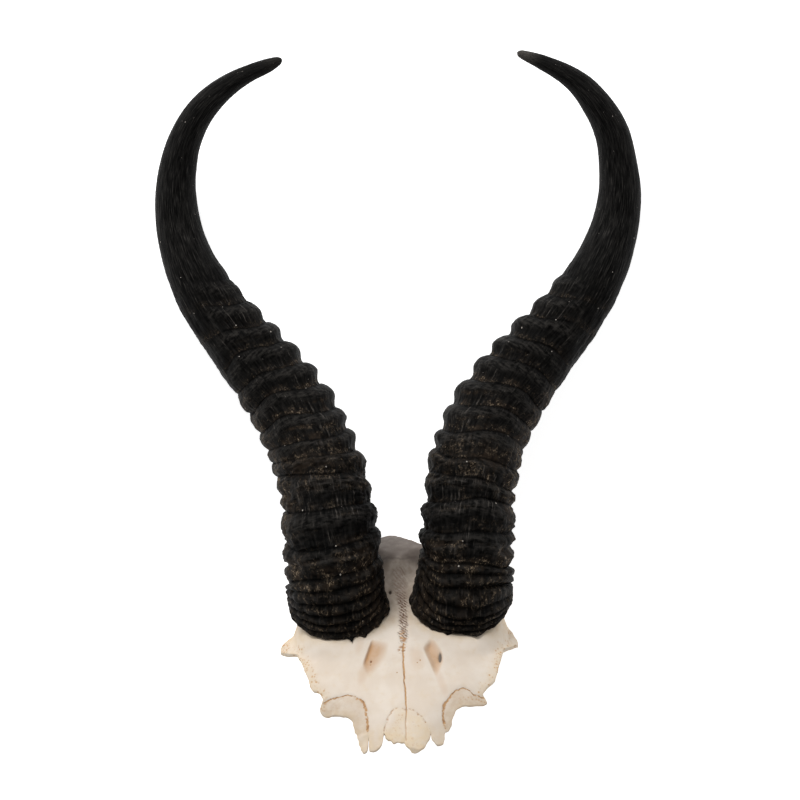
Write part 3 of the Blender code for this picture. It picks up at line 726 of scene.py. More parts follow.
def horn_dust(along, angle, place_in_ridge, folded):
    """Where dust lies: just above each crease and in the folds, near the base, and along the outer edge."""
    outer_edge = stretch_of(np.degrees(angle)[None, :], *OUTER_EDGE)
    edge = outer_edge * stretch_of(along, *EDGE_DUST)
    low = 1 - rise(along, *LOW_DUST_END)
    upper = stretch_of(along, *UPPER_DUST) * (1 - outer_edge)
    settled = np.exp(-(place_in_ridge / CREASE_DUST_REACH) ** 2) + np.clip(folded / FOLD_FULL_DEPTH, 0, 1)
    everywhere, near_base, further_up = CREASE_DUST_AMOUNTS
    dust = settled * (everywhere + near_base * low + further_up * upper)
    dust = dust + EDGE_DUST_AMOUNT * edge + LOW_DUST_AMOUNT * low
    dust = dust + MIDDLE_DUST_AMOUNT * stretch_of(along, *MIDDLE_DUST)
    return np.clip(dust, 0, MOST_DUST) * (1 - rise(along, *DUST_END))


def make_horn(name, pedicle, line, creases, folds, swell, rim, inward, seed, material):
    """One horn sheath: oval sections along its line, ridged, grained, ragged at its rim and closed."""
    at, length = horn_line(pedicle, line)
    angle = 2 * np.pi * np.arange(HORN_COLUMNS) / HORN_COLUMNS
    lines = crease_lines(creases, angle, seed)
    depths = crease_depths(creases, lines, angle, seed)
    along, ridge, share = horn_rows(lines, length)
    sunk, nearness, height = ridge_relief(along, ridge, share, angle, depths)
    folded = fold_relief(along, ridge, share, angle, folds)
    sunk += folded
    inner, _, outer = side_shares(angle)
    sunk -= inner[None, :] * table_at(swell, along, 1) + outer[None, :] * table_at(swell, along, 2)
    sunk -= ragged_rim(angle, rim, seed)[None, :] * np.exp(-(along / RIM_WIDTH) ** 2)

    across = STRAIGHT_RADIUS * np.cos(angle)[None, :] + 0 * along
    outward = STRAIGHT_RADIUS * np.sin(angle)[None, :] + 0 * along
    straight = np.stack([across, outward, along], axis=-1)
    ridged = 1 - rise(along, *RIDGED_END)
    rugged = 1 - rise(along, *RUGGED_END)
    for stretch, size, layer, plain, on_ridges, near_base in HORN_LUMPS:
        amount = plain + on_ridges * ridged + near_base * rugged
        sunk += amount * lumps(straight * np.array(stretch), size, seed + layer)

    middle, half_width, side, face = at(along)
    to_tip = np.clip((along - (length - TIP_ROUNDING)) / TIP_ROUNDING, 0, 1)
    closing = np.sqrt(1 - to_tip ** 2)
    calm_length, calm_share = TIP_CALM
    sunk = sunk * np.clip(closing * smooth_step((length - along) / calm_length + calm_share), 0, 1)
    wide = inward * (half_width * closing - sunk) * np.cos(angle)[None, :]
    deep = (half_width * closing * DEPTH_TO_WIDTH - sunk) * np.sin(angle)[None, :]
    points = middle + wide[..., None] * side + deep[..., None] * face

    base_middle = at(np.zeros(1))[0][0]
    tip_middle = at(np.array([length]))[0][0]
    rings = [base_middle + (points[0] - base_middle) * ring_share for ring_share in INNER_RINGS]
    rows = len(rings) + len(points)
    flat = np.vstack([*rings, points.reshape(-1, 3), base_middle[None], tip_middle[None]])
    faces = grid_faces(rows, HORN_COLUMNS, inward > 0)

    def spread(values):
        """A value at each grid point, as one at each point of the mesh, with its inner rings and poles."""
        full = np.concatenate([values[:1], values[:1], values])
        return np.concatenate([full.ravel(), [values[0].mean(), values[-1].mean()]])

    dust = horn_dust(along, angle, share[:, None] * np.ones_like(along), folded)
    worn = np.clip(np.sin(angle), 0, 1)[None, :] * rise(along, *WORN_FROM)
    crest = height ** 3 * ridged * np.clip(depths[ridge] + depths[ridge + 1], 0, 2) / 2
    straight = np.concatenate([straight[:1], straight[:1], straight]).reshape(-1, 3)
    attributes = {
        # Nearness to a crease, which the finish paints as shade.
        "crease": spread(nearness),
        "dust": spread(dust * (ridge < ridge.max())[:, None]),
        "worn": spread(worn),
        "crest": spread(crest),
        "rugged": spread(np.clip(rugged + RIDGED_FLAKES * ridged, 0, 1)),
        "tip": spread(rise(along, length - TIP_WEAR_LENGTH, TIP_WEAR_LENGTH)),
        "straight": np.vstack([straight, [[0, 0, 0]], [[0, 0, length]]]) * MM,
    }
    return new_piece(name, inside_box(flat), faces, material, attributes)


def roof(x, y):
    """Height of the outer bone surface: a curved spine, sides that fall away, two pedicles."""
    sideways = np.abs(x) / smooth_curve(FALL_Y, FALL_REACH, y)
    fall = smooth_curve(FALL_Y, FALL_DROP, y) * sideways ** smooth_curve(FALL_Y, FALL_POWER, y)
    z = smooth_curve(SPINE_Y, SPINE_Z, y) - fall
    half_length = BASE_HALF_WIDTH * DEPTH_TO_WIDTH * math.cos(PLATE_LEAN - HORN_RISE)
    for cx, cy, cz in (LEFT_PEDICLE, RIGHT_PEDICLE):
        beyond = (oval_reach(x, y, (cx, cy), (BASE_HALF_WIDTH, half_length)) - 1) * BASE_HALF_WIDTH
        top = cz - PEDICLE_SLOPE * (y - cy)
        from_middle = np.maximum(np.hypot(x - cx, y - cy), 1)
        outward = np.clip((x - cx) * np.sign(cx) / from_middle, 0, 1) ** 2
        inset = PEDICLE_INSET[0] + (PEDICLE_INSET[1] - PEDICLE_INSET[0]) * outward
        flank = PEDICLE_FLANK[0] + (PEDICLE_FLANK[1] - PEDICLE_FLANK[0]) * outward
        margin = np.where(z > top, PEDICLE_MARGIN, -inset)
        z = z + (top - z) * smooth_step(1 - (beyond - margin) / flank)
    return np.maximum(z, SAW_DEPTH + EDGE_THICKNESS)


def side_distance(x, y, start, end):
    """Each point's place along a straight side, as a share of it, and its distance from the side."""
    (ax, ay), (bx, by) = start, end
    t = ((x - ax) * (bx - ax) + (y - ay) * (by - ay)) / ((bx - ax) ** 2 + (by - ay) ** 2)
    on_side = np.clip(t, 0, 1)
    return t, np.hypot(x - ax - on_side * (bx - ax), y - ay - on_side * (by - ay))


def line_offset(x, y, start, end):
    """Signed distance from the straight line through two points, positive on its left."""
    (ax, ay), (bx, by) = start, end
    return ((bx - ax) * (y - ay) - (by - ay) * (x - ax)) / math.hypot(bx - ax, by - ay)


def distance_to_outline(x, y):
    """Distance from each point to the nearest side of the plate's outline."""
    best = np.full(x.shape, np.inf)
    for start, end in zip(PLATE_OUTLINE, PLATE_OUTLINE[1:] + PLATE_OUTLINE[:1]):
        best = np.minimum(best, side_distance(x, y, start, end)[1])
    return best


def underside(x, y, top, inward):
    """Height of the bone's lower surface: the saw cut, the thin free edges and the hollows."""
    edge = EDGE_THICKNESS - NOSE_THINNING * smooth_step((NOSE_THINNING_FROM - y) / NOSE_THINNING_LENGTH)
    low = np.maximum(SAW_DEPTH, top - edge - THICKEN_SLOPE * inward)
    shell = top - SHELL
    for centre, half in HOLLOWS.values():
        inside = (1 - oval_reach(x, y, centre, half)) * min(half) / HOLLOW_SOFTNESS
        low = low + np.maximum(shell - low, 0) * smooth_step(inside)
    return low


def seam_offset(x, y, line):
    """Signed distance from a seam line, left of it positive, and its share: 1 along it, 0 past its ends."""
    best = np.full(x.shape, np.inf)
    signed = np.zeros(x.shape)
    past = np.zeros(x.shape)
    last = len(line) - 2
    for number, (start, end) in enumerate(zip(line[:-1], line[1:])):
        run = math.dist(start, end)
        t, gap = side_distance(x, y, start, end)
        closer = gap < best
        best = np.where(closer, gap, best)
        signed = np.where(closer, np.sign(line_offset(x, y, start, end)) * gap, signed)
        beyond = np.zeros(x.shape)
        if number == 0:
            beyond = np.maximum(beyond, -t * run)
        if number == last:
            beyond = np.maximum(beyond, (t - 1) * run)
        past = np.where(closer, beyond, past)
    return signed, 1 - smooth_step(past / SEAM_END)


def paired_seam(x, y, left_line, right_line, split, right_sign):
    """Offset and share of a seam on its left line, or past the split on its right line, with its sign."""
    left, left_share = seam_offset(x, y, left_line)
    right, right_share = seam_offset(x, y, right_line)
    on_left = x < split
    return np.where(on_left, left, right_sign * right), np.where(on_left, left_share, right_share)


def turned_oval(x, y, centre, half, turn):
    """A point's place across and along a turned oval, as shares of its half sizes."""
    across = ((x - centre[0]) * math.cos(turn) + (y - centre[1]) * math.sin(turn)) / half[0]
    along = (-(x - centre[0]) * math.sin(turn) + (y - centre[1]) * math.cos(turn)) / half[1]
    return across, along


def pit_sink(x, y):
    """Depth of the pits and how brown they are, with painted shade along each pit's steep wall: inside all
    of a pit's sides, each fading over its width.
    """
    depth = np.zeros(x.shape)
    brown = np.zeros(x.shape)
    for steep_side, corners in PITS:
        inside = np.ones(x.shape)
        gaps = []
        for (*start, fade), (*end, _) in zip(corners, corners[1:] + corners[:1]):
            gaps.append(line_offset(x, y, start, end))
            inside = inside * smooth_step(gaps[-1] / fade)
        depth += inside ** PIT_FLOOR
        # Painted shade: a brown band just inside the steep wall.
        wall = np.exp(-((gaps[steep_side] - PIT_WALL_AT) / PIT_WALL) ** 2)
        brown += inside ** PIT_TAN_AND_SHADE_FADE * (PIT_STAIN + PIT_WALL_SHADE * wall)
    for centre, half, turn, strength in SMEARS:
        across, along = turned_oval(x, y, centre, half, turn)
        brown += strength * np.clip(1 - across ** 2 - along ** 2, 0, 1)
    return depth, np.clip(brown, 0, MOST_PIT_TAN_AND_SHADE)


def fine_outline():
    """The plate's edge: a closed cubic curve through the outline, at even distances, slightly ragged."""
    corners = np.array(PLATE_OUTLINE, float)
    looped = np.vstack([corners[-3:], corners, corners[:3]])
    gaps = np.linalg.norm(np.diff(looped, axis=0), axis=1)
    places = np.concatenate([[0], np.cumsum(gaps)])
    start = places[3]
    total = places[-3] - start
    even = start + total * np.arange(PLATE_COLUMNS) / PLATE_COLUMNS
    edge = smooth_curve(places, looped, even)
    heading = np.roll(edge, -1, axis=0) - np.roll(edge, 1, axis=0)
    outward = np.column_stack([-heading[:, 1], heading[:, 0]]) / np.linalg.norm(heading, axis=1)[:, None]
    flat = np.column_stack([edge, np.zeros(len(edge))])
    return edge + outward * layered(flat, EDGE_LUMPS)[:, None]


def inner_loop(outline):
    """A plain loop inside the outline, which the rows pass on their way to the edge."""
    step = np.linalg.norm(outline - np.roll(outline, 1, axis=0), axis=1)
    along = np.cumsum(step)
    apart = np.abs(along[:, None] - along[None, :])
    apart = np.minimum(apart, along[-1] - apart)
    weight = np.exp(-(apart / LOOP_SOFTNESS) ** 2) * (step + np.roll(step, -1))[None, :]
    smoothed = (weight @ outline) / weight.sum(axis=1)[:, None]
    middle = np.array(PLATE_MIDDLE, float)
    return middle + LOOP_SHARE * (smoothed - middle)


def rows_in_plan(places, outline, loop):
    """The plate's rows seen square on: place 0 is the middle point, LOOP_AT the loop and 1 the edge."""
    middle = np.array(PLATE_MIDDLE, float)
    t = places[:, None, None]
    near = middle + (loop - middle)[None] * np.minimum(t / LOOP_AT, 1)
    far = (outline - loop)[None] * np.maximum((t - LOOP_AT) / (1 - LOOP_AT), 0)
    return near + far


def edge_drop(plan, outline, reach, depth):
    """How far the surface is drawn in near its edge: a rounding of the given reach and depth."""
    rounding = np.clip(1 - np.linalg.norm(plan - outline[None], axis=-1) / reach, 0, 1)
    return depth * (1 - np.sqrt(1 - STEEPEST_ROUNDING * rounding ** 2))


def evenly(count):
    """Shares from 1 / count to 1 in even steps."""
    return np.arange(1, count + 1) / count


def plan_rows(outline):
    """The plan of the rows over the roof, and of those that come back along the underside."""
    loop = inner_loop(outline)
    brim = 1 - LOOP_AT
    core_rows = LOOP_AT * evenly(ROOF_ROWS) ** CORE_CROWDING
    brim_rows = 1 - brim * (1 - evenly(BRIM_ROWS)) ** BRIM_CROWDING
    under_brim_rows = 1 - brim * (np.arange(UNDER_BRIM_ROWS + 1) / UNDER_BRIM_ROWS) ** UNDER_BRIM_CROWDING
    under_core_rows = LOOP_AT * (1 - evenly(UNDER_ROWS)[:-1]) ** CORE_CROWDING
    top = rows_in_plan(np.concatenate([core_rows, brim_rows]), outline, loop)
    low = rows_in_plan(np.concatenate([under_brim_rows, under_core_rows]), outline, loop)
    return top, low


def make_plate(name, material):
    """The bone plate: rows over the roof, round its rounded edge and back along the underside."""
    outline = fine_outline()
    top_plan, low_plan = plan_rows(outline)
    x = top_plan[..., 0]
    y = top_plan[..., 1]
    flat = np.stack([x, y, np.zeros_like(x)], axis=-1)
    inward = distance_to_outline(x, y)
    midline, midline_share = seam_offset(x, y, MIDLINE)
    tear, tear_share = paired_seam(x, y, LEFT_TEAR_SEAM, RIGHT_TEAR_SEAM, 0, -1)
    arc, arc_share = paired_seam(x, y, NOSE_ARC_LEFT, NOSE_ARC_RIGHT, NOSE_ARC_SPLIT, 1)
    back, back_share = seam_offset(x, y, BACK_SEAM)

    z = roof(x.ravel(), y.ravel()).reshape(x.shape)
    z = z + layered(flat, ROOF_LUMPS) + smooth_step(1 - inward / RIM_REACH) * layered(flat, RIM_LUMPS)
    pits, brown = pit_sink(x, y)
    z -= PIT_DEPTH * pits
    for offset, share, (depth, half_width) in ((midline, midline_share, MIDLINE_GROOVE),
                                               (tear, tear_share, TEAR_GROOVE),
                                               (arc, arc_share, NOSE_ARC_GROOVE),
                                               (back, back_share, BACK_GROOVE)):
        z -= depth * share * np.exp(-(offset / half_width) ** 2)
    z -= TEAR_STEP * tear_share * smooth_step(-tear / TEAR_STEP_WIDTH) * rise(tear, *TEAR_STEP_END)
    stitched, stitched_share = seam_offset(x, y, STITCHED)
    narrow, widening = STITCHED_HALF_WIDTH
    half_band = narrow + widening * rise(y, *STITCHED_WIDENING) + layered(flat, [STITCHED_LUMPS])
    band_margin, band_fade = STITCHED_FADE
    rough_band = smooth_step((half_band + band_margin - np.abs(stitched)) / band_fade) * stitched_share
    size, seed, depth = STITCHED_ROUGHNESS
    z -= depth * rough_band * (0.5 + 0.5 * lumps(flat, size, seed))
    for centre, half, depth, _ in HOLES:
        z -= depth * smooth_step(HOLE_REACH - oval_reach(x, y, centre, half) * HOLE_STEEPNESS)
    z -= edge_drop(top_plan, outline, EDGE_ROUNDING, EDGE_ROUNDING)

    u = low_plan[..., 0]
    v = low_plan[..., 1]
    low_flat = np.stack([u, v, np.zeros_like(u)], axis=-1)
    low_inward = distance_to_outline(u, v)
    low = underside(u, v, roof(u.ravel(), v.ravel()).reshape(u.shape), low_inward)
    hollow = smooth_step((low - SAW_DEPTH) / SAWN_FADE)
    low += hollow * layered(low_flat, HOLLOW_LUMPS) + layered(low_flat, UNDER_LUMPS)
    low += edge_drop(low_plan, outline, *UNDER_EDGE_ROUNDING)

    top_rows = np.concatenate([top_plan, z[..., None]], axis=-1)
    low_rows = np.concatenate([low_plan, low[..., None]], axis=-1)
    wall = np.array([top_rows[-1] * (1 - share) + low_rows[0] * share for share in WALL_SHARES])
    points = np.concatenate([top_rows, wall, low_rows])
    poles = np.array([[*PLATE_MIDDLE, z[0].mean()], [*PLATE_MIDDLE, low[-1].mean()]])
    local = np.vstack([points.reshape(-1, 3), poles])
    place = np.array(plate_matrix())
    world = inside_box(local @ place[:3, :3].T + place[:3, 3])
    faces = grid_faces(len(points), PLATE_COLUMNS, True)

    def spread(top_values, low_values=0.0):
        """One value for each point of the mesh: the roof, the wall, the underside and the two poles."""
        wall_values = np.repeat(top_values[-1:], len(wall), axis=0)
        low_values = low_values + np.zeros_like(low)
        full = np.concatenate([top_values, wall_values, low_values])
        return np.concatenate([full.ravel(), [top_values[0].mean(), low_values[-1].mean()]])

    nose_reach = oval_reach(x, y, *NOSE_STAIN) - layered(flat, [NOSE_STAIN_LUMPS])
    stain_edge, stain_fade = NOSE_STAIN_FADE
    skirt_edge, skirt_fade = SKIRT_FADE
    skirt = np.zeros_like(x)
    for cx, cy, _ in (LEFT_PEDICLE, RIGHT_PEDICLE):
        reach = oval_reach(x, y, (cx, cy), (BASE_HALF_WIDTH, BASE_HALF_WIDTH))
        skirt = np.maximum(skirt, smooth_step((skirt_edge - reach) / skirt_fade))
    offsets = [spread(offset, FAR_AWAY) for offset in (midline, tear, arc)]
    shares = [spread(share) for share in (midline_share, tear_share, arc_share)]
    attributes = {
        "seam_offset": np.column_stack(offsets) * MM,
        "seam_share": np.column_stack(shares),
        "back_seam": spread(back, FAR_AWAY) * MM,
        "stitched": spread(rough_band),
        # The pits' tan, with painted shade along their steep walls.
        "pit": spread(brown),
        "nose": spread(smooth_step((stain_edge - nose_reach) / stain_fade)),
        # Painted shade with some dirt between the horns, and a little over the underside.
        "shade_and_grime": spread(rise(y, *SHADE_AND_GRIME_FROM) * (1 - rise(np.abs(x), *SHADE_AND_GRIME_SIDES)), UNDER_SHADE_AND_GRIME),
        "rim": spread(smooth_step(1 - inward / EDGE_STAIN), smooth_step(1 - low_inward / EDGE_STAIN)),
        "skirt": spread(skirt),
        "under": spread(np.zeros_like(x), 1),
        "sawn": spread(np.zeros_like(x), 1 - hollow),
        "plan": local * MM,
    }
    return new_piece(name, world, faces, material, attributes)


# Finishes. Colours are screen values from 0 to 255.
BONE_CREAM = (226, 211, 194)
BONE_PALE = (233, 221, 207)
BONE_TAN = (196, 150, 102)
BONE_WARM = (222, 200, 168)
BONE_SHINE = 0.3
NOSE_YELLOW = (228, 205, 168)
TEAR_TAN = (206, 180, 150)
SEAM_AMBER = (198, 150, 96)
SEAM_BROWN = (160, 110, 62)
STITCH_BROWN = (88, 50, 24)
# Painted shade with some dirt between the horns, darker on the braincase behind them.
SHADE_AND_GRIME_GREY = (142, 128, 116)
SHADE_AND_GRIME_DARK = (104, 94, 87)
GRIME_DEEP = (78, 68, 60)
HORN_BLACK = (5, 5, 5)
HORN_SOFT_BLACK = (25, 24, 23)
HORN_SMOOTH = (36, 35, 34)
HORN_SCUFFED = (60, 57, 54)
# Painted shade in the horn's creases and between its flakes.
PAINTED_SHADE_BLACK = (2, 2, 2)
HORN_FILM = (50, 41, 33)
HORN_COMBED = (112, 106, 100)
HORN_DUST = (162, 143, 120)
HORN_SHINE = 0.02
HORN_PALE = (140, 134, 128)
HORN_SPECK = (196, 188, 178)
STROKE_STEP = 2.2
FLOOR_PALE = (246, 246, 246)
FLOOR_WHITE = (250, 250, 250)
FLOOR_GLOW = 0.8
FLOOR_HALF_SIZE = 3000.0
FLOOR_HEIGHT = -0.15

SKY_STRENGTH = 0.28
# Each soft light: its name, its place and width in metres, and its power.
LIGHTS = (("key", (-0.35, 1.05, 0.85), 0.6, 13.5), ("fill_left", (-1.0, -0.1, 0.7), 0.7, 1.2),
          ("fill_right", (1.0, 0.1, 0.7), 0.7, 1.2))


def screen(colour):
    """A screen colour of 0 to 255 as the linear colour that the shaders take."""
    share = np.array(colour, float) / 255
    linear = np.where(share <= 0.04045, share / 12.92, ((share + 0.055) / 1.055) ** 2.4)
    return (*linear.tolist(), 1.0)


class Finish:
    """A material, with short calls that add nodes. An input is a number, a colour or a node's output."""

    def __init__(self, name):
        self.material = bpy.data.materials.new(name)
        self.material.use_nodes = True
        self.tree = self.material.node_tree
        self.shader = self.tree.nodes["Principled BSDF"]
        self.colour = None
        self.normal = None

    def plug(self, socket, value):
        if isinstance(value, bpy.types.NodeSocket):
            self.tree.links.new(value, socket)
        else:
            socket.default_value = value

    def node(self, kind, inputs, **settings):
        made = self.tree.nodes.new(kind)
        for key, value in settings.items():
            setattr(made, key, value)
        for key, value in inputs.items():
            self.plug(made.inputs[key], value)
        return made

    def attribute(self, label, output="Fac"):
        return self.node("ShaderNodeAttribute", {}, attribute_name=label).outputs[output]

    def place(self):
        return self.node("ShaderNodeTexCoord", {}).outputs["Object"]

    def stretch(self, vector, scale):
        return self.node("ShaderNodeMapping", {"Vector": vector, "Scale": scale}).outputs["Vector"]

    def noise(self, vector, size, detail=3.0, rough=0.55):
        """Uneven values about 0.5, with lumps of the given size in millimetres."""
        inputs = {"Vector": vector, "Scale": 1 / (size * MM), "Detail": detail, "Roughness": rough}
        return self.node("ShaderNodeTexNoise", inputs).outputs["Fac"]

    def cells(self, vector, size):
        """Distance from the nearest of many scattered points, about one size apart, as a share of it."""
        inputs = {"Vector": vector, "Scale": 1 / (size * MM)}
        return self.node("ShaderNodeTexVoronoi", inputs).outputs["Distance"]

    def math(self, operation, a, b=0.0, clamp=False):
        return self.node("ShaderNodeMath", {0: a, 1: b}, operation=operation, use_clamp=clamp).outputs[0]

    def vector_math(self, operation, a, b, output="Vector"):
        return self.node("ShaderNodeVectorMath", {0: a, 1: b}, operation=operation).outputs[output]

    def times(self, first, *others):
        """The product of all the inputs."""
        for other in others:
            first = self.math("MULTIPLY", first, other)
        return first

    def plus(self, a, b):
        return self.math("ADD", a, b)

    def ramp(self, value, low, high, start=0.0, end=1.0):
        """From start to end, smoothly, as the value goes from low to high."""
        inputs = {"Value": value, "From Min": low, "From Max": high, "To Min": start, "To Max": end}
        return self.node("ShaderNodeMapRange", inputs, interpolation_type="SMOOTHSTEP").outputs["Result"]

    def fade(self, distance, low, high, start=0.0, end=1.0):
        """A ramp over a distance whose ends are given in millimetres."""
        return self.ramp(distance, low * MM, high * MM, start, end)

    def waver(self, vector, size, detail, reach):
        """Uneven shifts about 0, of the given reach in millimetres."""
        return self.times(self.math("SUBTRACT", self.noise(vector, size, detail), 0.5), reach * MM)

    def mix(self, share, a, b):
        """Colour a, turning to colour b as share goes from 0 to 1."""
        a = screen(a) if isinstance(a, tuple) else a
        b = screen(b) if isinstance(b, tuple) else b
        return self.node("ShaderNodeMix", {0: share, 6: a, 7: b}, data_type="RGBA").outputs[2]

    def parts(self, vector):
        made = self.node("ShaderNodeSeparateXYZ", {"Vector": vector})
        return made.outputs["X"], made.outputs["Y"], made.outputs["Z"]

    def lay(self, colour, *shares):
        """Lays a colour over the one so far, as strongly as the product of the shares."""
        self.colour = self.mix(self.times(*shares), self.colour, colour)

    def emboss(self, height, distance, strength):
        """Tilts the normal so far by a height of 0 to 1 that stands for a distance in millimetres."""
        inputs = {"Height": height, "Distance": distance * MM, "Strength": strength}
        if self.normal is not None:
            inputs["Normal"] = self.normal
        self.normal = self.node("ShaderNodeBump", inputs).outputs["Normal"]

    def finish(self, roughness, shine):
        self.plug(self.shader.inputs["Base Color"], self.colour)
        self.plug(self.shader.inputs["Roughness"], roughness)
        self.plug(self.shader.inputs["Normal"], self.normal)
        self.shader.inputs["Specular IOR Level"].default_value = shine
        return self.material


def horn_finish(name, dust_amount, tip_wear):
    """Near-black horn: lengthwise strands, flakes near the base, brown dust, pale scuffs and specks, and
    painted shade in its creases and between its flakes.
    """
    f = Finish(name)
    straight = f.attribute("straight", "Vector")
    rugged = f.attribute("rugged")
    dust = f.attribute("dust")
    strands = f.noise(f.stretch(straight, (1, 1, 0.12)), 0.85, 3, 0.65)
    combs = f.noise(f.stretch(straight, (1, 1, 0.25)), 1.3, 3, 0.65)
    flakes = f.noise(f.stretch(straight, (0.35, 0.35, 1)), 1.1, 4, 0.65)
    patches = f.noise(straight, 6, 4, 0.6)
    areas = f.noise(straight, 10, 3, 0.6)
    crumbs = f.noise(straight, 0.75, 5, 0.75)

    softer = f.mix(f.ramp(rugged, 0.0, 0.3), HORN_SMOOTH, HORN_SOFT_BLACK)
    f.colour = f.mix(f.ramp(strands, 0.32, 0.70), HORN_BLACK, softer)
    scuffs = f.times(f.ramp(combs, 0.52, 0.72), f.ramp(patches, 0.38, 0.66, 0.1, 1.0))
    f.lay(HORN_SCUFFED, scuffs, f.ramp(rugged, 0.0, 1.0, 0.25, 0.7))
    f.lay(HORN_SCUFFED, f.attribute("crest"), f.ramp(flakes, 0.40, 0.65), 0.55)
    f.lay(HORN_PALE, f.attribute("worn"), f.ramp(strands, 0.52, 0.75), 0.08)
    combed = f.times(f.ramp(strands, 0.56, 0.74), f.ramp(areas, 0.50, 0.60))
    f.lay(HORN_COMBED, combed, f.ramp(rugged, 0.0, 0.5, 0.08, 0.5))
    # Painted shade: the low places between the flakes near the base, darkened.
    f.lay(PAINTED_SHADE_BLACK, f.ramp(flakes, 0.50, 0.30), rugged, 0.8)

    film = f.times(dust, f.ramp(patches, 0.38, 0.62))
    smears = f.times(f.ramp(dust, 0.0, 0.6), f.ramp(areas, 0.49, 0.39))
    f.lay(HORN_FILM, f.math("MAXIMUM", smears, film), f.ramp(combs, 0.3, 0.65, 0.15, 0.75))
    clusters = f.ramp(f.noise(straight, 2.4, 4, 0.7), 0.47, 0.60)
    settled = f.times(film, clusters, f.ramp(crumbs, 0.47, 0.62))
    f.lay(HORN_DUST, f.math("MULTIPLY", settled, dust_amount, clamp=True))
    # Painted shade: the creases between the ridges, darkened nearly to black.
    f.lay(PAINTED_SHADE_BLACK, f.attribute("crease"), 0.85)
    chosen = f.ramp(f.noise(straight, 2.6, 2), 0.58, 0.64)
    f.lay(HORN_SPECK, f.ramp(f.cells(straight, 3.4), 0.12, 0.06), chosen, 0.8)
    f.lay(HORN_PALE, f.attribute("tip"), f.ramp(crumbs, 0.40, 0.62), tip_wear)

    for height, distance, strength in ((strands, 0.20, 1.0), (combs, 0.20, 0.9), (crumbs, 0.09, 0.7),
                                       (f.times(flakes, rugged), 0.40, 0.9), (settled, 0.12, 0.6)):
        f.emboss(height, distance, strength)
    return f.finish(f.plus(f.ramp(combs, 0.3, 0.7, 0.44, 0.58), f.times(settled, 0.3)), HORN_SHINE)


def seam_lines(f, place, along, broken, offsets, shares, slow_waver):
    """How strongly each point lies on a brown seam: broken lines along the midline, tear bones and nose."""
    waver = f.waver(place, 1.5, 3, 2.2)
    midline_width = f.ramp(f.noise(place, 7, 2), 0.35, 0.65, 0.26 * MM, 0.42 * MM)
    tear_width = f.plus(f.times(f.fade(along, -49, -56), 0.30 * MM), 0.26 * MM)
    kinds = ((midline_width, (0.20, 0.34), f.fade(along, -66, -58, 0.45, 0.95), slow_waver),
             (tear_width, (0.32, 0.48), 0.9, f.times(waver, 0.7)),
             (0.45 * MM, (0.46, 0.60), 0.6, waver))
    seams = 0.0
    for offset, share, (width, gaps, reach, bend) in zip(offsets, shares, kinds):
        gap = f.math("DIVIDE", f.math("ABSOLUTE", f.plus(offset, bend)), width)
        line = f.times(f.ramp(gap, 1.3, 0.4), f.ramp(broken, *gaps), f.times(share, reach))
        seams = f.math("MAXIMUM", line, seams)
    return seams


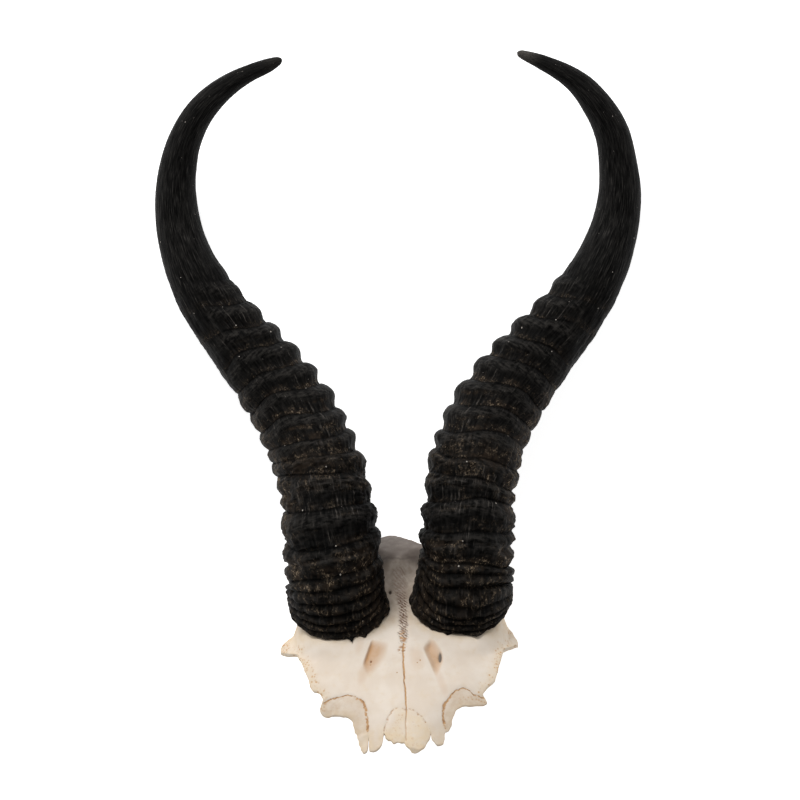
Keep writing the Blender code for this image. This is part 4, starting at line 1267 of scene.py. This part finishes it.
def bone_finish():
    """Dry cream bone: chalky grain, brown seams, tan pits with painted shade on their steep walls, painted
    shade in its holes, pores by its edges, and painted shade with some dirt between the horns.
    """
    f = Finish("dry_bone")
    place = f.place()
    plan = f.attribute("plan", "Vector")
    across, along, _ = f.parts(plan)
    top_side = f.math("SUBTRACT", 1.0, f.attribute("under"))
    rim = f.attribute("rim")
    nose = f.attribute("nose")
    mottle = f.noise(place, 3.2, 4, 0.6)
    broken = f.noise(place, 1.7, 3, 0.6)
    slow_waver = f.waver(place, 4.0, 2, 1.3)
    offsets = f.parts(f.attribute("seam_offset", "Vector"))
    shares = f.parts(f.attribute("seam_share", "Vector"))

    def mottled(start, end, low=0.3):
        """A strength that goes from start to end with the mottling."""
        return f.ramp(mottle, low, 0.7, start, end)

    f.colour = f.mix(f.ramp(f.noise(place, 16, 3), 0.35, 0.65), BONE_CREAM, BONE_PALE)
    f.lay(BONE_WARM, f.ramp(mottle, 0.5, 0.8), 0.35)
    f.lay(BONE_WARM, rim, mottled(0.35, 0.75))
    f.lay(NOSE_YELLOW, nose, mottled(0.2, 0.6))
    f.lay(BONE_WARM, f.attribute("skirt"), mottled(0.35, 0.7))
    beyond_tear = f.times(f.fade(offsets[1], 0.4, -0.6), f.fade(offsets[1], -12, -2), shares[1])
    f.lay(TEAR_TAN, beyond_tear, mottled(0.15, 0.5))
    # Tan pits, with painted shade along their steep walls.
    f.lay(BONE_TAN, f.attribute("pit"), mottled(0.86, 0.66, 0.25))
    # Painted shade with some dirt between the horns, darker still on the braincase behind them.
    f.lay(SHADE_AND_GRIME_GREY, f.attribute("shade_and_grime"), mottled(0.6, 0.85, 0.25))
    f.lay(SHADE_AND_GRIME_DARK, f.fade(along, 26, 33), mottled(0.86, 0.94, 0.25))
    back_gap = f.math("ABSOLUTE", f.plus(f.attribute("back_seam"), slow_waver))
    f.lay(GRIME_DEEP, f.fade(back_gap, 0.7, 0.2, 0.0, 0.3))
    seams = seam_lines(f, place, along, broken, offsets, shares, slow_waver)
    f.lay(f.mix(f.ramp(broken, 0.45, 0.7), SEAM_AMBER, SEAM_BROWN), seams)

    # The midline's upper part: slanting strokes, and lower down short stitches.
    band = f.attribute("stitched")
    slant = f.plus(along, f.times(across, 1.3))
    slant = f.plus(slant, f.times(f.noise(place, 2.0, 3), 2.6 * MM))
    wave = f.math("SINE", f.times(slant, 2 * math.pi / (STROKE_STEP * MM)))
    strokes = f.times(f.ramp(wave, -0.5, 0.3), f.ramp(f.noise(place, 1.0, 4, 0.7), 0.38, 0.52))
    strokes = f.math("MAXIMUM", strokes, f.ramp(f.noise(place, 2.4, 3), 0.38, 0.60, 0.0, 0.55))
    stitches = f.times(strokes, band, f.fade(along, -28, -18))
    f.lay(STITCH_BROWN, stitches, f.fade(along, 18, 4, 0.4, 1.0))
    low_stitches = f.ramp(f.cells(f.stretch(place, (0.7, 1.0, 1)), 1.5), 0.58, 0.34)
    low_stitches = f.times(low_stitches, band, f.fade(along, -12, -20), f.fade(along, -31, -29))
    f.lay(f.mix(f.ramp(broken, 0.4, 0.6), SEAM_AMBER, SEAM_BROWN), low_stitches, 0.8)

    # Pores along the free edges in front of the horns, and freckles on the nose's end.
    pores = f.times(f.ramp(f.cells(place, 1.4), 0.44, 0.22), f.ramp(rim, 0.0, 0.5))
    pores = f.times(pores, f.ramp(mottle, 0.42, 0.54), top_side)
    pores = f.times(pores, f.fade(along, -56, -50), f.fade(along, -3, -9))
    f.lay(SEAM_AMBER, pores, 0.75)
    freckles = f.ramp(f.noise(place, 1.3, 4, 0.7), 0.54, 0.66)
    f.lay(SEAM_AMBER, freckles, f.ramp(f.noise(place, 5, 3), 0.46, 0.6), nose, 0.5)

    # Each hole's colour: painted shade inside the slit and the dark and brown holes, the bone's own colour
    # on the pale spots.
    for (cx, cy), (half_x, half_y), _, hole_colour_and_shade in HOLES:
        from_centre = f.vector_math("SUBTRACT", plan, (cx * MM, cy * MM, 0))
        scaled = f.vector_math("MULTIPLY", from_centre, (1 / (half_x * MM), 1 / (half_y * MM), 0))
        reach = f.vector_math("LENGTH", scaled, (0, 0, 0), "Value")
        f.lay(hole_colour_and_shade, f.ramp(reach, 1.25, 0.7), top_side)

    sawn = f.attribute("sawn")
    sponge = f.cells(place, 1.5)
    f.lay(BONE_TAN, sawn, f.ramp(sponge, 0.45, 0.15))
    dents = f.plus(f.plus(stitches, low_stitches), pores)
    dents = f.plus(f.times(seams, 0.8), f.times(dents, 0.3))
    f.emboss(f.noise(place, 0.5, 4, 0.65), 0.05, 0.6)
    f.emboss(mottle, 0.12, 0.4)
    f.emboss(f.math("SUBTRACT", 1.0, dents), 0.25, 0.8)
    f.emboss(f.times(sawn, f.ramp(sponge, 0.1, 0.5)), 0.4, 0.8)
    return f.finish(mottled(0.55, 0.7), BONE_SHINE)


def floor_finish():
    """Plain pale floor, faintly uneven in its roughness."""
    f = Finish("pale_floor")
    colour = f.mix(f.noise(f.place(), 300, 2), FLOOR_PALE, FLOOR_WHITE)
    roughness = f.ramp(f.noise(f.place(), 40, 2), 0.3, 0.7, 0.66, 0.74)
    f.plug(f.shader.inputs["Base Color"], colour)
    f.plug(f.shader.inputs["Roughness"], roughness)
    f.shader.inputs["Emission Color"].default_value = (1, 1, 1, 1)
    f.shader.inputs["Emission Strength"].default_value = FLOOR_GLOW
    return f.material


def make_floor():
    """A wide flat floor just below the object's lowest point."""
    signs = ((-1, -1), (1, -1), (1, 1), (-1, 1))
    corners = np.array([[FLOOR_HALF_SIZE * a, FLOOR_HALF_SIZE * b, FLOOR_HEIGHT] for a, b in signs])
    floor = new_piece("floor", corners, [(0, 1, 2, 3)], floor_finish(), {})


def make_camera():
    """The camera above the object, looking straight down."""
    data = bpy.data.cameras.new("camera")
    data.sensor_fit = "HORIZONTAL"
    data.angle = 2 * math.atan(FIELD_WIDTH / 2 / (CAMERA_AT[2] - FIELD_HEIGHT))
    data.clip_end = CAMERA_REACH * MM
    camera = bpy.data.objects.new("camera", data)
    camera.location = Vector(CAMERA_AT) * MM
    bpy.context.scene.collection.objects.link(camera)
    bpy.context.scene.camera = camera


def make_light_and_sky():
    """Square soft lights from above and from the picture's top, turned to the object, under a pale sky."""
    world = bpy.data.worlds.new("pale_sky")
    world.use_nodes = True
    background = world.node_tree.nodes["Background"]
    background.inputs["Color"].default_value = (1.0, 1.0, 1.0, 1)
    background.inputs["Strength"].default_value = SKY_STRENGTH
    bpy.context.scene.world = world
    for name, place, size, power in LIGHTS:
        data = bpy.data.lights.new(name, "AREA")
        data.shape = "SQUARE"
        data.size = size
        data.energy = power
        light = bpy.data.objects.new(name, data)
        light.location = place
        light.rotation_euler = (-Vector(place)).to_track_quat("-Z", "Y").to_euler()
        bpy.context.scene.collection.objects.link(light)


def main():
    """The camera, the lights, the floor and the three finished pieces, each in place of its solid."""
    bpy.context.scene.view_settings.view_transform = "Standard"
    make_camera()
    make_light_and_sky()
    make_floor()
    plate = make_plate("bone_plate", bone_finish())
    left_horn = horn_finish("left_horn_finish", LEFT_DUST, LEFT_TIP_WEAR)
    right_horn = horn_finish("right_horn_finish", RIGHT_DUST, RIGHT_TIP_WEAR)
    left = make_horn("left_sheath", LEFT_PEDICLE, LEFT_HORN_LINE, LEFT_CREASES, LEFT_FOLDS, LEFT_SWELL,
                     LEFT_RIM, 1, LEFT_SEED, left_horn)
    right = make_horn("right_sheath", RIGHT_PEDICLE, RIGHT_HORN_LINE, RIGHT_CREASES, RIGHT_FOLDS,
                      RIGHT_SWELL, RIGHT_RIM, -1, RIGHT_SEED, right_horn)
    for piece, node, slot in ((plate, "skull_plate", "bone"), (left, "left_horn", "horn"),
                              (right, "right_horn", "horn")):
        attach(piece, "root")
        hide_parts(node)


main()
